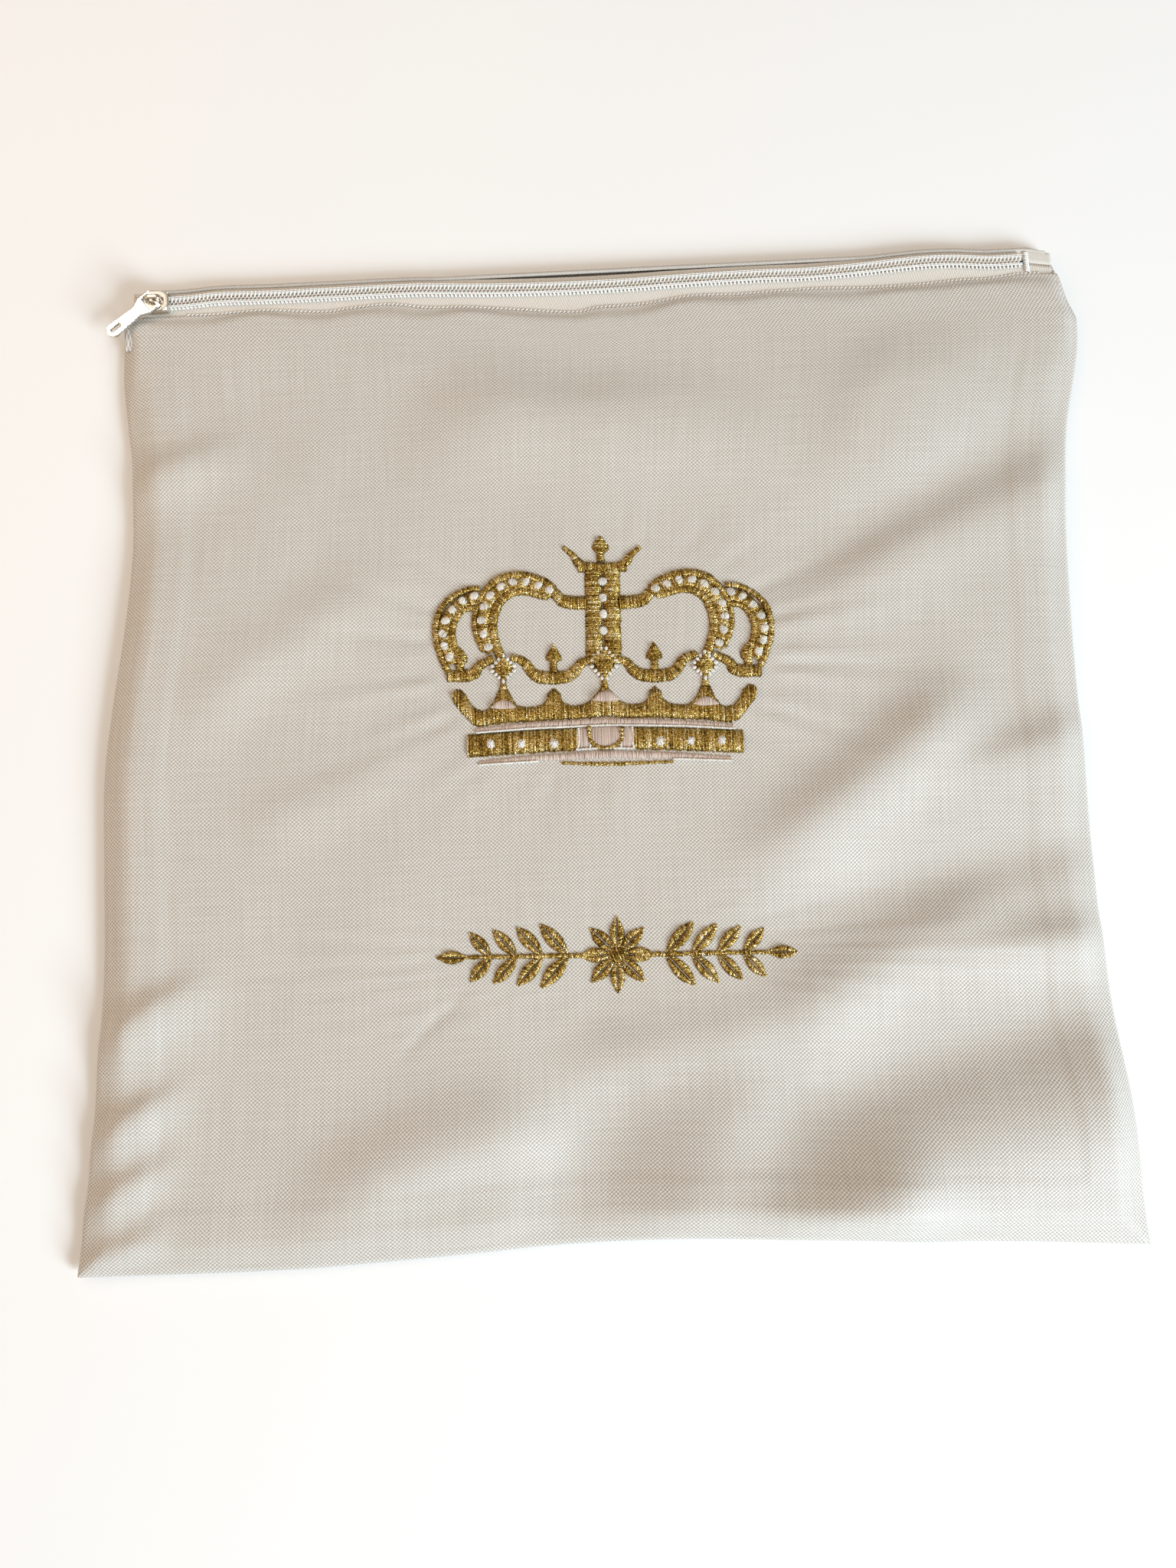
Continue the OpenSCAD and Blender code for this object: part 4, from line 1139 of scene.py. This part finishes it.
def bridge_path(half_l, top, foot):
    """Half a rounded rectangle: up one leg, round a shoulder, along the top and down again."""
    turn = np.linspace(0, np.pi / 2, 7)
    radius = 1.1
    x = -half_l + radius - radius * np.cos(turn)
    z = top - radius + radius * np.sin(turn)
    one = np.vstack([[[-half_l, 0, foot]], np.stack([x, 0 * turn, z], 1)])
    return np.vstack([one, (one * [-1, 1, 1])[::-1]])


def slider_shells():
    """The slider's closed shells in its own frame: two plates, two lips, the wedge and the bridge."""
    plate_top = FRONT_PLATE + PLATE
    back = [(0.02, SLIDER_LOW), (0.86, SLIDER_LOW), (0.96, SLIDER_LOW + 0.12), (1.0, SLIDER_LOW + 0.4),
            (0.98, SLIDER_LOW + 0.7), (0.92, SLIDER_LOW + PLATE), (0.02, SLIDER_LOW + PLATE)]
    front = [(0.02, FRONT_PLATE), (0.97, FRONT_PLATE), (1.0, FRONT_PLATE + 0.25), (0.985, FRONT_PLATE + 0.5),
             (0.93, FRONT_PLATE + 0.72), (0.78, plate_top), (0.45, plate_top + 0.12), (0.02, plate_top + 0.16)]
    lip_z = (COIL_Z + 0.3 + FRONT_PLATE + 0.3) / 2
    lip_h = (FRONT_PLATE + 0.3 - COIL_Z - 0.3) / 2
    lips = [bar([(x, way * (3.12 - 0.012 * x * x), lip_z) for x in np.linspace(-2.9, 3.9, 9)], 0.42, lip_h)
            for way in (-1, 1)]
    post = bar([(-3.1, 0, z) for z in np.linspace(SLIDER_LOW + 0.3, FRONT_PLATE + 0.3, 5)], 0.5, 0.9)
    bridge = bar(bridge_path(2.15, SLIDER_HIGH - 0.45, plate_top - 0.3), 0.75, 0.45)
    return [pillow(4.25, 3.6, 3.0, back), pillow(4.3, 3.65, 3.0, front), *lips, post, bridge]


def cast(name, shells, material, body, voxel, rounds):
    """Fuses shells into one closed skin on a fine grid and eases its edges, as casting does."""
    points, faces, first = [], [], 0
    for shell in shells:
        points.append(shell.reshape(-1, 3))
        faces += sweep_faces(*shell.shape[:3], first)
        first += len(points[-1])
    return fuse(name, np.concatenate(points), faces, material, body, voxel, rounds)


def fuse(name, points, faces, material, body, voxel, rounds):
    """One skin over a set of closed shells, given in millimetres so that the grid can be fine."""
    rough = bpy.data.meshes.new(name + "_rough")
    rough.from_pydata(points.tolist(), [], faces)
    shell = bmesh.new()
    shell.from_mesh(rough)
    bmesh.ops.remove_doubles(shell, verts=shell.verts, dist=0.001)
    bmesh.ops.recalc_face_normals(shell, faces=shell.faces)
    shell.to_mesh(rough)
    shell.free()
    holder = bpy.data.objects.new(name + "_rough", rough)
    scene.collection.objects.link(holder)
    grid = holder.modifiers.new("grid", "REMESH")
    grid.mode = "VOXEL"
    grid.voxel_size = voxel
    eased = holder.modifiers.new("eased", "SMOOTH")
    eased.factor = 0.5
    eased.iterations = rounds
    graph = bpy.context.evaluated_depsgraph_get()
    skin = bpy.data.meshes.new_from_object(holder.evaluated_get(graph))
    co = np.zeros(len(skin.vertices) * 3, np.float32)
    skin.vertices.foreach_get("co", co)
    faces = [list(p.vertices) for p in skin.polygons]
    made = place_mesh(name, co.reshape(-1, 3).astype(float), faces, material, body)
    bpy.data.objects.remove(holder)
    return made


def plated_material(name, colour, roughness, grain):
    """Bright nickel over zinc: a full metal with a faint orange peel and softly worn patches."""
    material, tree, shader = finish(name, Metallic=1.0, Roughness=roughness)
    place = on_object(tree)
    worn = noise(tree, place, 700.0, 3.0)
    paint(tree, shader, worn, (0, colour), (1, "#F4F1EA"))
    dulled = spread(tree, worn, To_Min=roughness * 0.7, To_Max=roughness * 1.5)
    tree.links.new(dulled, shader.inputs["Roughness"])
    relieve(tree, shader, noise(tree, place, grain), 0.15, 0.00005)
    return material


def on_slider(shells):
    """Moves shells from the slider's own frame to its place on the zipper."""
    placed = []
    for shell in shells:
        x = pivot[0] + shell[..., 0] * ALONG[0] + shell[..., 1] * ACROSS[0]
        y = pivot[1] + shell[..., 0] * ALONG[1] + shell[..., 1] * ACROSS[1]
        placed.append(np.stack([x, y, shell[..., 2]], -1))
    return placed


# The slider's beige colour is a painted reflection of the ivory cloth around it; the same plating on the tab is near
# neutral.
slider_nickel_with_painted_reflection = plated_material("nickel plated zinc casting", "#C9B79C", 0.26, 900.0)
slider = cast("slider_casting", on_slider(slider_shells()), slider_nickel_with_painted_reflection, "slider", 0.11, 3)
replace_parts(slider, "slider_body")


# ------------------------------------------------------------
# Pull tab. Zinc, cast flat with an eye that hangs on the slider's bridge and a slot near its
# tip, then tumbled and plated bright, so that its edges are round and its faces mirror-like.
# ------------------------------------------------------------
def build_tab():
    """The tab's own solid with its edges eased."""
    solid = frame["nodes"]["pull_tab"].data
    co = np.zeros(len(solid.vertices) * 3, np.float32)
    solid.vertices.foreach_get("co", co)
    return fuse("pull_tab_casting", co.reshape(-1, 3) / MM, [list(p.vertices) for p in solid.polygons],
                plated_material("bright plated zinc tab", "#D9DAD8", 0.12, 600.0), "tab", 0.1, 3)


tab = build_tab()
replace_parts(tab, "pull_tab")
